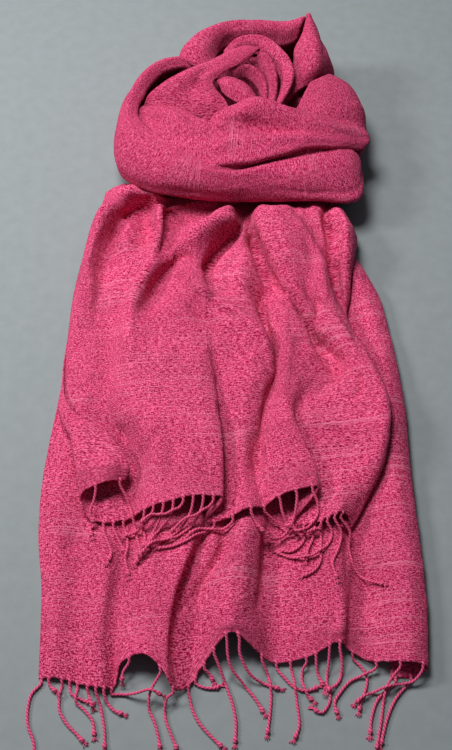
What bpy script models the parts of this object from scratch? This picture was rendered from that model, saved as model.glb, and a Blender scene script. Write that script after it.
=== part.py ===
# Handwoven scarf, doubled and wound: two fringed ends lie in front of one wound loop.
# Tables are in millimetres, x across, y away from the fringed ends, z up from the surface.
# The long end lies on the surface, the short end lies on it, and the loop stands behind both.
import bmesh
import bpy
import numpy as np
from mathutils import Vector
from mathutils.bvhtree import BVHTree

MM = 0.001
WALL = 2.0            # cloth with its nub, measured through the wall
HALF_WALL = WALL / 2
REST_GAP = 1.2        # air kept between one layer and the layer it lies on
LONG_FOLD_RISE = 1.4  # how much the long end's folds stand up over their drawn heights
SEAM_GAP = 0.6        # air kept between a hem and the strip of its fringe
STRIP_DEEP = 2.4      # fringe strip, measured away from the hem
STRIP_TRIM = 4.0      # a strip stops this short of the folds at its ends
STRAND_WIDE = 3.4     # twisted strand
STRAND_STEP = 11.0    # length of one straight piece of a strand
STRAND_FLOOR = 0.5    # strands end this far above what they lie on
MIDDLE_X = 3.05       # middle of the whole scarf, which becomes x = 0
MIDDLE_Y = 28.4       # and y = 0

ROSE = (0.56, 0.075, 0.19, 1.0)
ROSE_SHADE = (0.42, 0.045, 0.13, 1.0)
CLOTH_ROUGHNESS = 0.9

# ---------------------------------------------------------------- long end
# One row for each fold, left to right: the hem's own y, then x and z where the fold
# crosses the lines named in LONG_LINES.
LONG_LINES = ("hem", -350, -290, -230, -160, -40)
LONG_FOLDS = (
    # name           hem_y   x     z     x     z     x     z     x     z     x     z     x     z
    ("left_edge",    -402, -214, 1.0, -216, 1.0, -219, 1.0, -227, 1.0, -228, 1.0, -216, 1.0),
    ("left_crown",   -402, -196, 5.0, -198, 6.0, -200, 7.0, -204, 8.0, -204, 8.0, -196, 4.0),
    ("left_dip",     -408, -170, 3.0, -172, 3.5, -174, 4.0, -176, 5.0, -176, 4.0, -168, 3.0),
    ("left_ridge",   -415, -144, 9.0, -144, 12., -142, 12., -142, 8.0, -142, 4.0, -136, 3.0),
    ("left_tuck",    -413, -128, 3.0, -128, 5.0, -126, 6.0, -124, 5.0, -120, 3.5, -114, 3.0),
    ("arch_left",    -389, -120, 12., -118, 9.0, -114, 7.0, -110, 6.0, -104, 4.0, -98, 3.0),
    ("arch_crown",   -381, -94, 21., -94, 17., -92, 14., -88, 11., -84, 5.0, -78, 3.5),
    ("arch_right",   -396, -74, 20., -76, 18., -72, 15., -62, 13., -60, 5.0, -56, 3.5),
    ("lip",          -413, -62, 17., -63, 18., -54, 17., -32, 14., -36, 5.0, -34, 3.5),
    ("lip_under",    -418, -55, 7.0, -57, 6.0, -48, 6.0, -27, 6.0, -26, 4.0, -24, 3.0),
    ("facet_low",    -409, -40, 3.0, -42, 3.0, -36, 5.0, -16, 11., -12, 4.0, -12, 3.0),
    ("tube_left",    -386, -24, 9.0, -27, 8.0, -22, 8.0, -4, 8.0, 2, 4.0, 0, 3.0),
    ("tube_crown",   -358, 6, 26., 4, 27., 8, 25., 22, 22., 24, 6.0, 22, 3.5),
    ("tube_right",   -374, 34, 15., 33, 16., 36, 15., 42, 14., 46, 5.0, 44, 3.5),
    ("groove",       -384, 52, 4.0, 50, 4.0, 50, 3.5, 50, 4.0, 62, 3.5, 60, 3.0),
    ("plain",        -380, 92, 8.0, 90, 9.0, 90, 9.0, 90, 8.0, 92, 4.0, 88, 3.0),
    ("thin_ridge",   -364, 131, 14., 132, 15., 134, 14., 136, 12., 130, 4.0, 122, 3.0),
    ("thin_groove",  -369, 140, 6.0, 141, 7.0, 143, 7.0, 145, 6.0, 144, 3.5, 138, 3.0),
    ("valley",       -383, 164, 6.0, 163, 5.0, 165, 5.0, 167, 5.0, 168, 4.0, 166, 4.0),
    ("tube_rise",    -387, 188, 14., 188, 14., 188, 14., 188, 13., 188, 11., 190, 10.),
    ("tube_top",     -389, 212, 17., 212, 18., 213, 18., 212, 18., 210, 18., 208, 20.),
    ("right_turn",   -392, 230, 9.0, 233, 9.0, 234, 9.0, 232, 9.0, 229, 9.0, 226, 10.),
    ("right_under",  -398, 220, 1.6, 224, 1.4, 226, 1.4, 224, 1.4, 220, 1.4, 216, 1.4),
    ("right_end",    -402, 188, 1.0, 192, 1.0, 194, 1.0, 194, 1.0, 192, 1.0, 190, 1.0),
)
# Behind those lines the long end runs flat to the loop, its folds spread evenly.
LONG_REACH = (
    # y    left  right  tube height
    (60, -204, 215, 21.0),
    (120, -196, 203, 22.0),
    (165, -186, 184, 20.0),
    (210, -172, 160, 17.0),
    (250, -156, 148, 16.0),
    (286, -140, 142, 16.0),
)
ROLL_WIDE = 52        # from the flat part of the long end to its rolled right edge
LONG_ROWS = 24

# ---------------------------------------------------------------- short end
# Heights here are above the top of the long end.  Both pleats and the turned-over
# corner double back on themselves, so x is not always rising from row to row.
SHORT_LINES = ("hem", -150, -105, -60, 0, 55, 115, 165, 205, 238, 258, 273, "top")
# what the drawn heights are multiplied by, line by line
SHORT_RISES = (1.2, 1.2, 1.2, 1.2, 1.25, 1.3, 1.35, 1.45, 1.5, 1.5, 1.05, 1.0, 1.0)
SHORT_FOLDS = (
    # name, then the hem point, then x and z at each line, then the last point
    ("selvedge", (-122, -163, 17),
     (-118, 20,  -142, 20,  -198, 12,  -211, 7,  -209, 4,  -206, 3,
      -199, 4,  -192, 5,  -184, 8,  -177, 11,  -172, 13), (-170, 292, 9)),
    ("corner_top", (-148, -172, 27),
     (-148, 27,  -168, 22,  -208, 12,  -210, 4.5,  -206, 4.5,  -200, 8,
      -194, 12,  -187, 16,  -178, 20,  -169, 23,  -163, 24), (-156, 302, 11)),
    ("corner_fold", (-177, -183, 14),
     (-184, 13,  -193, 12,  -213, 7,  -203, 4,  -197, 7,  -192, 13,
      -186, 18,  -178, 22,  -167, 27,  -154, 30,  -148, 33), (-132, 305, 12)),
    ("corner_under", (-166, -209, 3),
     (-170, 3,  -176, 3,  -204, 3.2,  -190, 6,  -186, 8,  -183, 13,
      -176, 14,  -167, 15,  -156, 22,  -144, 24,  -137, 36), (-118, 301, 7)),
    ("left_flat", (-140, -215, 4),
     (-142, 4,  -152, 4,  -176, 6,  -171, 10,  -170, 9,  -172, 7,
      -166, 5,  -156, 6,  -147, 10,  -137, 8,  -127, 35), (-111, 296, 5)),
    ("left_valley", (-114, -208, 5),
     (-112, 4,  -122, 5,  -152, 8,  -152, 9,  -152, 9,  -150, 12,
      -138, 14,  -137, 17,  -134, 11,  -126, 3,  -115, 31), (-104, 291, 4)),
    ("tongue", (-107, -205, 9),
     (-105, 10,  -117, 9,  -143, 12,  -145, 13,  -144, 14,  -131, 15,
      -114, 19,  -110, 10,  -112, 6,  -106, 4,  -98, 27), (-93, 287, 7)),
    ("pocket", (-102, -204, 12),
     (-99, 15,  -111, 13,  -135, 16,  -138, 17,  -137, 18,  -118, 25,
      -93, 22,  -87, 25,  -88, 26,  -88, 21,  -77, 5), (-75, 286, 4)),
    ("lobe_left", (-92, -201, 17),
     (-90, 20,  -100, 20,  -120, 22,  -124, 22,  -122, 23,  -98, 11,
      -75, 9,  -75, 15,  -78, 5,  -77, 4,  -49, 11), (-50, 286, 7)),
    ("lobe_crown", (-70, -197, 21),
     (-68, 24,  -76, 24,  -88, 25,  -92, 25,  -94, 20,  -72, 17,
      -58, 17,  -56, 20,  -60, 8,  -56, 7,  -25, 12), (-26, 286, 9)),
    ("lobe_right", (-40, -191, 24),
     (-38, 26,  -42, 26,  -50, 26,  -54, 25,  -58, 22,  -48, 22,
      -43, 20,  -37, 28,  -34, 13,  -34, 9,  -1, 11), (-3, 286, 8)),
    ("step_edge", (-4, -193, 23),
     (-4, 25,  -6, 24,  -12, 22,  -20, 23,  -26, 24,  -31, 23,
      -32, 16,  -18, 26,  -10, 27,  -9, 15,  13, 10), (12, 286, 6)),
    ("step_under", (-24, -215, 5),
     (-16, 7,  -15, 8,  -13, 11,  -12, 17,  -2, 25,  -24, 14,
      -25, 4,  -5, 8,  6, 27,  8, 20,  21, 4), (22, 286, 5)),
    ("mid_valley", (4, -213, 6),
     (4, 6,  4, 8,  2, 14,  8, 19,  24, 24,  -14, 18,
      -15, 11,  4, 4,  17, 6,  20, 6,  27, 4), (28, 286, 5)),
    ("mid_lobe", (24, -206, 10),
     (20, 11,  22, 14,  24, 19,  36, 22,  42, 23,  4, 23,
      4, 20,  14, 12,  23, 5,  26, 5,  32, 5), (33, 286, 5)),
    ("mid_edge", (36, -202, 9),
     (30, 8,  36, 10,  42, 15,  57, 16,  52, 19,  24, 21,
      22, 22,  23, 19,  28, 11,  31, 6,  36, 5), (38, 286, 5)),
    ("crease", (46, -198, 7),
     (38, 5,  42, 6,  47, 6,  64, 4,  58, 4,  44, 9,
      40, 14,  32, 13,  32, 9,  35, 7,  41, 6), (44, 286, 5)),
    ("fold_left", (62, -188, 20),
     (50, 14,  50, 15,  53, 13,  72, 12,  66, 15,  57, 6,
      50, 5,  38, 9,  37, 18,  41, 13,  50, 12), (53, 286, 8)),
    ("fold_crown", (86, -183, 29),
     (77, 27,  67, 24,  63, 19,  80, 19,  76, 21,  73, 20,
      61, 21,  46, 23,  46, 28,  52, 20,  62, 14), (64, 286, 9)),
    ("fold_edge", (111, -180, 26),
     (109, 27,  93, 24,  81, 18,  92, 18,  88, 21,  96, 24,
      84, 30,  70, 31,  63, 30,  68, 22,  77, 14), (78, 286, 9)),
    ("fold_under", (82, -219, 8),
     (92, 9,  89, 9,  90, 9,  117, 13,  105, 17,  110, 22,
      102, 28,  92, 30,  82, 28,  86, 22,  90, 12), (91, 286, 8)),
    ("slit", (107, -220, 9),
     (121, 12,  112, 13,  113, 14,  148, 8,  120, 8,  122, 26,
      114, 24,  106, 27,  97, 23,  100, 16,  102, 8), (102, 286, 7)),
    ("right_lobe", (126, -213, 14),
     (148, 18,  144, 19,  145, 20,  158, 20,  130, 23,  132, 28,
      124, 25,  116, 22,  109, 20,  112, 13,  113, 8), (113, 286, 7)),
    ("right_crown", (141, -208, 15),
     (170, 19,  178, 21,  178, 22,  171, 25,  146, 28,  139, 23,
      131, 21,  124, 17,  119, 18,  122, 12,  122, 7), (122, 286, 7)),
    ("right_edge", (149, -214, 10),
     (186, 14,  198, 16,  199, 18,  183, 21,  160, 23,  144, 15,
      137, 14,  132, 13,  128, 15,  131, 9,  130, 6), (130, 286, 6)),
    ("outer_crease", (151, -220, 6),
     (190, 9,  202, 10,  204, 11,  188, 12,  166, 12,  149, 9,
      143, 7,  139, 6,  136, 7,  138, 6,  138, 6), (137, 285, 5)),
    ("outer_tube", (147, -223, 4),
     (188, 4,  200, 5,  202, 5,  186, 6,  165, 6,  157, 13,
      157, 19,  161, 24,  157, 22,  152, 11,  148, 7), (146, 282, 7)),
    ("outer_end", (136, -222, 3),
     (177, 3,  189, 3,  191, 3,  176, 3,  157, 3,  166, 4,
      170, 5,  177, 6,  172, 7,  165, 4,  159, 4), (156, 280, 4)),
)
SHORT_ROWS = 29

# ---------------------------------------------------------------- wound loop
# Each row is one section across a stretch, from its outer or lower edge to its inner or
# upper edge; the sections follow each other along the stretch.
FRONT_COLLAR = (
    # bottom edge      wall bulge        shoulder          top               upper edge
    ((-42, 490, 6), (-44, 488, 42), (-41, 480, 66), (-37, 472, 70), (-33, 464, 66)),
    ((-72, 484, 4), (-78, 485, 45), (-71, 479, 82), (-63, 473, 90), (-58, 465, 84)),
    ((-106, 466, 4), (-114, 468, 45), (-108, 464, 80), (-99, 460, 91), (-92, 453, 84)),
    ((-134, 430, 4), (-142, 430, 42), (-137, 427, 72), (-128, 422, 85), (-119, 416, 80)),
    ((-146, 385, 4), (-155, 384, 40), (-150, 381, 67), (-139, 378, 80), (-128, 379, 78)),
    ((-136, 308, 16), (-152, 310, 38), (-143, 320, 64), (-122, 334, 78), (-108, 346, 78)),
    ((-97, 283, 24), (-106, 271, 44), (-98, 281, 66), (-78, 303, 78), (-67, 315, 79)),
    ((-38, 264, 31), (-40, 257, 47), (-38, 264, 67), (-36, 279, 79), (-36, 290, 81)),
    ((-2, 260, 32), (-2, 253, 46), (-2, 260, 66), (-5, 272, 77), (-8, 280, 80)),
    ((60, 260, 33), (62, 251, 46), (61, 259, 66), (60, 276, 77), (58, 310, 79)),
    ((122, 257, 38), (126, 249, 50), (124, 259, 64), (120, 280, 76), (116, 326, 77)),
    ((170, 254, 36), (182, 252, 48), (175, 272, 62), (166, 292, 73), (156, 328, 72)),
    ((184, 300, 4), (191, 304, 36), (185, 311, 59), (175, 320, 67), (162, 336, 64)),
    ((172, 346, 4), (176, 348, 32), (172, 348, 48), (164, 348, 54), (152, 348, 52)),
)
BACK_LOOP = (
    ((-70, 494, 22), (-72, 490, 56), (-60, 476, 90), (-42, 464, 88), (-26, 458, 80)),
    ((-66, 508, 4), (-68, 506, 52), (-54, 490, 98), (-36, 480, 96), (-20, 474, 84)),
    ((-44, 530, 4), (-44, 531, 54), (-32, 515, 101), (-19, 504, 99), (-12, 494, 80)),
    ((0, 540, 4), (0, 543, 54), (0, 531, 100), (2, 520, 98), (4, 511, 78)),
    ((45, 543, 4), (45, 546, 56), (43, 534, 101), (43, 522, 99), (43, 513, 78)),
    ((90, 540, 4), (92, 543, 56), (91, 532, 102), (89, 520, 99), (87, 511, 80)),
    ((110, 540, 4), (113, 542, 58), (111, 536, 107), (106, 525, 102), (101, 514, 85)),
)
RIGHT_BAND = (
    ((128, 536, 4), (130, 536, 58), (121, 537, 111), (116, 526, 108), (110, 513, 92)),
    ((146, 512, 4), (148, 510, 54), (127, 509, 107), (115, 502, 104), (101, 494, 88)),
    ((156, 486, 4), (157, 484, 50), (131, 478, 101), (115, 473, 98), (98, 466, 79)),
    ((150, 472, 20), (148, 468, 48), (131, 455, 90), (112, 448, 88), (94, 440, 73)),
    ((138, 456, 30), (134, 450, 54), (122, 438, 74), (104, 428, 75), (86, 420, 66)),
)
RIGHT_SHOULDER = (
    ((98, 362, 79), (104, 384, 83), (111, 402, 85), (117, 417, 86), (121, 428, 86)),
    ((132, 351, 77), (136, 377, 83), (140, 402, 86), (138, 422, 87), (135, 435, 87)),
    ((164, 346, 67), (168, 376, 74), (170, 408, 77), (160, 434, 81), (149, 446, 82)),
    ((188, 350, 55), (190, 380, 61), (188, 416, 64), (174, 444, 68), (160, 457, 66)),
    ((197, 354, 38), (200, 384, 42), (195, 420, 44), (181, 451, 46), (166, 466, 46)),
    ((194, 357, 18), (198, 386, 20), (194, 423, 22), (181, 455, 22), (168, 470, 24)),
    ((190, 358, 5), (192, 388, 4), (188, 424, 4), (176, 456, 4), (166, 474, 8)),
)
UPPER_DRAPE = (
    # lower edge       lower face        trough            ridge             inner edge
    ((-135, 362, 58), (-132, 374, 61), (-129, 385, 64), (-125, 394, 67), (-118, 401, 67)),
    ((-86, 318, 68), (-82, 340, 80), (-78, 358, 84), (-74, 374, 85), (-70, 388, 79)),
    ((-38, 288, 71), (-37, 310, 82), (-36, 334, 86), (-36, 356, 88), (-34, 376, 76)),
    ((-2, 287, 85), (1, 306, 88), (3, 332, 91), (6, 360, 97), (9, 380, 88)),
    ((38, 290, 87), (41, 314, 90), (44, 344, 88), (41, 376, 104), (42, 390, 95)),
    ((80, 304, 87), (82, 322, 90), (84, 340, 86), (83, 366, 101), (82, 379, 92)),
    ((118, 316, 86), (123, 324, 88), (127, 332, 85), (125, 350, 97), (124, 366, 90)),
    ((156, 320, 79), (160, 327, 81), (162, 335, 81), (160, 344, 86), (158, 358, 80)),
    ((188, 328, 64), (195, 335, 65), (198, 344, 64), (197, 352, 65), (193, 362, 65)),
)
# The coil in the middle, one table for each turn of it that shows.
DIAGONAL_BAND = (
    # upper edge, three points between, lower edge
    ((-117, 400, 61), (-86, 391, 69), (-56, 385, 69), (-28, 383, 69), (4, 388, 74)),
    ((-106, 413, 80), (-80, 407, 84), (-52, 402, 79), (-27, 402, 85), (-5, 404, 82)),
    ((-87, 425, 89), (-66, 421, 92), (-46, 418, 86), (-30, 417, 92), (-16, 414, 88)),
    ((-58, 441, 95), (-48, 436, 97), (-39, 431, 93), (-29, 428, 96), (-20, 424, 93)),
    ((-25, 457, 98), (-22, 450, 101), (-18, 444, 100), (-15, 438, 99), (-12, 433, 95)),
    ((3, 473, 101), (2, 465, 104), (1, 457, 103), (0, 449, 102), (-1, 442, 98)),
    ((28, 483, 102), (26, 475, 105), (23, 467, 104), (20, 459, 103), (18, 452, 100)),
    ((46, 479, 102), (44, 476, 104), (41, 472, 104), (39, 469, 103), (36, 466, 100)),
)
ROSETTE_OUTER = (
    # rim, face, foot
    ((-2, 485, 90), (0, 480, 88), (3, 475, 80)),
    ((10, 494, 99), (12, 488, 95), (14, 483, 84)),
    ((29, 501, 103), (29, 494, 99), (29, 488, 85)),
    ((51, 500, 103), (48, 492, 99), (45, 486, 85)),
    ((73, 485, 100), (67, 478, 97), (61, 472, 84)),
    ((88, 462, 97), (80, 457, 94), (74, 453, 83)),
    ((93, 440, 94), (85, 438, 91), (79, 436, 81)),
    ((88, 418, 89), (81, 417, 86), (76, 416, 78)),
    ((75, 397, 81), (71, 398, 78), (67, 399, 72)),
)
ROSETTE_MIDDLE = (
    ((50, 475, 101), (46, 469, 97), (41, 463, 85)),
    ((61, 463, 99), (55, 458, 95), (49, 454, 83)),
    ((68, 446, 96), (60, 443, 92), (54, 441, 80)),
    ((70, 426, 91), (63, 425, 87), (57, 424, 76)),
    ((68, 405, 84), (62, 406, 80), (57, 407, 71)),
    ((62, 390, 76), (58, 393, 73), (54, 396, 68)),
)
ROSETTE_INNER = (
    ((10, 446, 93), (12, 443, 89), (14, 440, 82)),
    ((20, 450, 95), (21, 446, 90), (21, 443, 82)),
    ((33, 451, 95), (32, 447, 90), (30, 443, 82)),
    ((45, 445, 93), (42, 441, 88), (39, 437, 80)),
    ((53, 432, 89), (49, 429, 84), (46, 427, 76)),
    ((56, 414, 83), (51, 414, 79), (48, 414, 72)),
    ((55, 398, 76), (51, 399, 73), (48, 400, 68)),
)
ROSETTE_TONGUE = (
    # far edge, middle, near edge
    ((-14, 433, 88), (-9, 425, 89), (-5, 415, 84)),
    ((-1, 435, 90), (3, 420, 94), (6, 403, 84)),
    ((14, 432, 90), (16, 416, 95), (16, 396, 84)),
    ((30, 421, 89), (30, 407, 92), (29, 390, 82)),
    ((42, 403, 85), (41, 397, 86), (39, 388, 78)),
)
# Layers hidden under the loop: one heap, its outline in plan and its edge in rolls.
HEAP_OUTLINE = (
    # x    y
    (0, 293), (70, 292), (128, 293), (156, 304), (167, 338), (172, 385), (160, 418),
    (126, 446), (122, 480), (106, 512), (45, 530), (0, 526), (-24, 503), (-46, 482),
    (-76, 475), (-106, 456), (-127, 424), (-135, 380), (-128, 342), (-92, 318), (-48, 300),
)
HEAP_TOP = 60.0
HEAP_ROLLS = 4
HEAP_ROLL_DEEP = 3.0
HEAP_PIT = 36.0       # floor of the hollow in its middle

# ---------------------------------------------------------------- fringes
# One strip for each stretch of hem, from one fold to another; each strand starts at
# root_x on its strip and passes the points that follow.
LONG_FRINGES = (
    ("long_fringe_under", "right_under", "right_end", (
        (212, ((204, -412), (192, -426), (182, -446), (172, -478))),
        (194, ((184, -414), (172, -426), (164, -446), (161, -466))),
    )),
    ("long_fringe_middle", "arch_left", "right_turn", (
        (-110, ((-117, -398), (-118, -408))),
        (-74, ((-78, -408), (-86, -422), (-87, -436), (-81, -450), (-76, -466), (-73, -482))),
        (-60, ((-66, -426), (-69, -436), (-68, -448), (-62, -464), (-54, -483))),
        (-43, ((-41, -424), (-39, -434), (-33, -448), (-20, -464), (-3, -480))),
        (-35, ((-26, -412), (-14, -413), (-6, -410))),
        (-25, ((-18, -398), (-14, -406))),
        (-14, ((-8, -390), (0, -410), (7, -430), (11, -452), (10, -476))),
        (0, ((2, -380), (6, -394), (19, -408), (33, -425), (43, -442))),
        (14, ((16, -380), (28, -400), (46, -409), (62, -414))),
        (41, ((47, -396), (51, -414), (50, -438), (46, -466))),
        (58, ((66, -400), (78, -412), (92, -416), (106, -411))),
        (74, ((77, -402), (80, -428), (82, -456), (76, -471))),
        (92, ((88, -392), (87, -406), (92, -420), (99, -428))),
        (103, ((104, -392), (107, -402), (112, -411))),
        (119, ((117, -390), (115, -406), (118, -426), (108, -441), (98, -436))),
        (131, ((133, -388), (129, -405), (114, -418))),
        (146, ((155, -388), (161, -400), (159, -414), (153, -428), (150, -440))),
        (172, ((158, -398), (142, -405), (130, -418), (123, -430), (126, -444))),
        (198, ((190, -402), (182, -414), (178, -430), (174, -452), (167, -482))),
        (224, ((214, -406), (196, -410), (174, -416), (156, -423), (146, -431))),
    )),
    ("long_fringe_left", "left_edge", "left_tuck", (
        (-211, ((-221, -420), (-224, -440), (-222, -456), (-215, -472), (-212, -490))),
        (-202, ((-199, -412), (-192, -418))),
        (-187, ((-189, -424), (-188, -438), (-180, -452), (-168, -464), (-158, -474))),
        (-178, ((-176, -419), (-164, -426), (-152, -430))),
        (-169, ((-170, -428), (-160, -438), (-150, -450), (-147, -468))),
        (-157, ((-154, -426), (-150, -436))),
        (-147, ((-143, -430), (-139, -446), (-136, -462), (-135, -482))),
        (-138, ((-134, -430), (-127, -438), (-115, -443))),
        (-130, ((-122, -420), (-104, -421), (-86, -419), (-72, -424))),
    )),
)
SHORT_FRINGES = (
    ("short_fringe_lip", "corner_under", "left_valley", (
        (-160, ((-164, -220), (-161, -232))),
        (-148, ((-147, -228), (-141, -242), (-137, -254), (-140, -266))),
        (-136, ((-133, -228), (-127, -240), (-121, -252))),
        (-124, ((-121, -226), (-118, -242), (-120, -262), (-115, -282))),
    )),
    ("short_fringe_right", "fold_under", "right_edge", (
        (94, ((95, -232), (89, -244), (77, -251), (64, -247))),
        (106, ((104, -236), (98, -250), (95, -265))),
        (115, ((114, -234), (113, -252), (112, -266), (103, -278), (91, -283))),
        (123, ((127, -230), (121, -246), (100, -259), (78, -259), (60, -249))),
        (132, ((138, -230), (134, -250), (126, -270), (131, -290))),
        (140, ((149, -228), (147, -246), (152, -268), (164, -284), (186, -296))),
    )),
    ("short_fringe_middle", "step_under", "fold_edge", (
        (-14, ((-23, -227), (-35, -233), (-46, -241), (-63, -248), (-84, -251))),
        (8, ((1, -223), (-14, -226), (-32, -225), (-45, -234))),
        (30, ((34, -216), (41, -226), (53, -232))),
        (46, ((52, -207), (62, -214), (73, -224), (84, -233))),
        (64, ((68, -204), (76, -219), (92, -230), (110, -227))),
        (84, ((84, -204), (80, -218), (70, -231), (54, -237), (41, -227))),
        (104, ((110, -196), (110, -210), (101, -223), (87, -229), (73, -221))),
    )),
    ("short_fringe_corner", "selvedge", "corner_fold", (
        (-129, ((-121, -184), (-113, -208), (-107, -234), (-101, -254))),
        (-158, ((-160, -192), (-164, -204), (-159, -216))),
    )),
    ("short_fringe_lobe", "tongue", "step_edge", (
        (-98, ((-100, -222), (-97, -238), (-101, -252), (-107, -268))),
        (-87, ((-92, -214), (-105, -226), (-122, -231))),
        (-75, ((-79, -214), (-87, -229), (-94, -241))),
        (-63, ((-66, -212), (-80, -226), (-90, -241), (-94, -256))),
        (-51, ((-59, -206), (-74, -212), (-90, -212), (-103, -220))),
        (-39, ((-43, -210), (-58, -229), (-76, -241), (-98, -248))),
        (-27, ((-30, -206), (-41, -222), (-61, -237), (-86, -245), (-101, -258))),
        (-15, ((-22, -203), (-34, -212), (-51, -218), (-66, -230))),
    )),
)


# ---------------------------------------------------------------- curves and walls
def smoothCurve(points, samples):
    """Points on a smooth curve through the given points, at the given places 0..n-1."""
    points = np.asarray(points, float)
    last = len(points) - 1
    padded = np.vstack([2 * points[0] - points[1], points, 2 * points[-1] - points[-2]])
    gaps = np.maximum(np.linalg.norm(np.diff(padded, axis=0), axis=1), 1e-6) ** 0.5
    knots = np.concatenate([[0.0], np.cumsum(gaps)])
    found = []
    for sample in samples:
        piece = min(int(sample), last - 1)
        k0, k1, k2, k3 = knots[piece:piece + 4]
        p0, p1, p2, p3 = padded[piece:piece + 4]
        t = k1 + (sample - piece) * (k2 - k1)
        a1 = (k1 - t) / (k1 - k0) * p0 + (t - k0) / (k1 - k0) * p1
        a2 = (k2 - t) / (k2 - k1) * p1 + (t - k1) / (k2 - k1) * p2
        a3 = (k3 - t) / (k3 - k2) * p2 + (t - k2) / (k3 - k2) * p3
        b1 = (k2 - t) / (k2 - k0) * a1 + (t - k0) / (k2 - k0) * a2
        b2 = (k3 - t) / (k3 - k1) * a2 + (t - k1) / (k3 - k1) * a3
        found.append((k2 - t) / (k2 - k1) * b1 + (t - k1) / (k2 - k1) * b2)
    return np.array(found)


def wallMesh(middle, floor=None):
    """A closed wall of even thickness about a grid of middle points."""
    middle = np.asarray(middle, float)
    facing = np.cross(middle[1:, 1:] - middle[:-1, :-1], middle[1:, :-1] - middle[:-1, 1:])
    facing /= np.linalg.norm(facing, axis=2)[..., None]
    normal = np.zeros_like(middle)
    for rows in (slice(None, -1), slice(1, None)):
        for columns in (slice(None, -1), slice(1, None)):
            normal[rows, columns] += facing
    normal /= np.linalg.norm(normal, axis=2)[..., None]
    upper = middle + normal * HALF_WALL
    lower = middle - normal * HALF_WALL
    if floor is not None:
        for side in (upper, lower):
            side[..., 2] = np.where(side[..., 2] < floor + 0.45, floor, side[..., 2])
    rows, columns = middle.shape[:2]
    points = np.vstack([upper.reshape(-1, 3), lower.reshape(-1, 3)])
    shift = rows * columns
    at = lambda row, column, side: row * columns + column + side * shift
    faces = []
    for row in range(rows - 1):
        for column in range(columns - 1):
            corners = ((row, column), (row, column + 1), (row + 1, column + 1), (row + 1, column))
            faces.append([at(r, c, 0) for r, c in corners])
            faces.append([at(r, c, 1) for r, c in reversed(corners)])
    rim = [(0, c) for c in range(columns)]
    rim += [(r, columns - 1) for r in range(1, rows)]
    rim += [(rows - 1, c) for c in range(columns - 2, -1, -1)]
    rim += [(r, 0) for r in range(rows - 2, 0, -1)]
    for here, there in zip(rim, rim[1:] + rim[:1]):
        faces.append([at(*there, 0), at(*here, 0), at(*here, 1), at(*there, 1)])
    return points, faces


def addPiece(name, points, faces, colour):
    """One named object from points in millimetres, moved so that the origin is underneath."""
    placed = (np.asarray(points, float) - (MIDDLE_X, MIDDLE_Y, 0.0)) * MM
    mesh = bpy.data.meshes.new(name)
    mesh.from_pydata(placed.tolist(), [], faces)
    shape = bmesh.new()
    shape.from_mesh(mesh)
    bmesh.ops.triangulate(shape, faces=shape.faces[:], quad_method="SHORT_EDGE")
    if shape.calc_volume(signed=True) < 0:
        bmesh.ops.reverse_faces(shape, faces=shape.faces[:])
    shape.to_mesh(mesh)
    shape.free()
    mesh.shade_smooth()
    piece = bpy.data.objects.new(name, mesh)
    bpy.context.scene.collection.objects.link(piece)
    material = bpy.data.materials.new(name + "_cloth")
    material.use_nodes = True
    shader = material.node_tree.nodes["Principled BSDF"]
    shader.inputs["Base Color"].default_value = colour
    shader.inputs["Roughness"].default_value = CLOTH_ROUGHNESS
    shader.inputs["Metallic"].default_value = 0.0
    mesh.materials.append(material)
    return piece


def topFinder(walls):
    """A function that gives the height of the highest wall under a point, or the floor."""
    trees = []
    for points, faces in walls:
        trees.append(BVHTree.FromPolygons([tuple(p) for p in points], faces))

    def topAt(x, y):
        height = 0.0
        for tree in trees:
            hit = tree.ray_cast(Vector((x, y, 300.0)), Vector((0, 0, -1)))[0]
            if hit is not None:
                height = max(height, hit.z)
        return height
    return topAt


def placesAlong(count, rows):
    return np.linspace(0, count - 1, rows)


def placesAcross(guides, widest):
    """Places 0..n-1 across the folds: each fold, and enough between them."""
    places = []
    for fold in range(len(guides) - 1):
        gap = np.linalg.norm(np.subtract(guides[fold + 1], guides[fold]), axis=1)[1:].max()
        pieces = max(1, round(gap / widest))
        places += [fold + piece / pieces for piece in range(pieces)]
    return places + [len(guides) - 1]


def foldedSheet(guides, rows, widest):
    """A grid of points on the sheet whose folds are the guides."""
    alongFolds = np.array([smoothCurve(guide, placesAlong(len(guide), rows)) for guide in guides])
    across = placesAcross(guides, widest)
    grid = np.array([smoothCurve(alongFolds[:, row], across) for row in range(rows)])
    return grid, across


# ---------------------------------------------------------------- the two ends
def longGuides():
    """The long end's folds, each as a line of points from the hem to the loop."""
    lastLine = LONG_LINES[-1]
    leftX = LONG_FOLDS[0][-2]
    rightX = next(fold[-2] for fold in LONG_FOLDS if fold[0] == "right_turn")
    rolled = {"tube_rise": 0.5, "tube_top": 1.0, "right_turn": 0.5}
    under = ("right_under", "right_end")
    guides = []
    for name, hemY, *numbers in LONG_FOLDS:
        ys = (hemY,) + LONG_LINES[1:]
        guide = [(x, y, HALF_WALL + (z - HALF_WALL) * LONG_FOLD_RISE)
                 for y, x, z in zip(ys, numbers[0::2], numbers[1::2])]
        x0, z0 = numbers[-2:]
        for y, left, right, tube in LONG_REACH:
            if name in rolled:
                guide.append((right + x0 - rightX, y, max(HALF_WALL, rolled[name] * tube)))
            elif name in under:
                guide.append((right + x0 - rightX, y, HALF_WALL))
            else:
                share = (x0 - leftX) / (rightX - ROLL_WIDE - leftX)
                reach = right - ROLL_WIDE - left
                guide.append((left + min(share, 1.0) * reach, y, HALF_WALL))
        guides.append(guide)
    return guides


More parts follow.
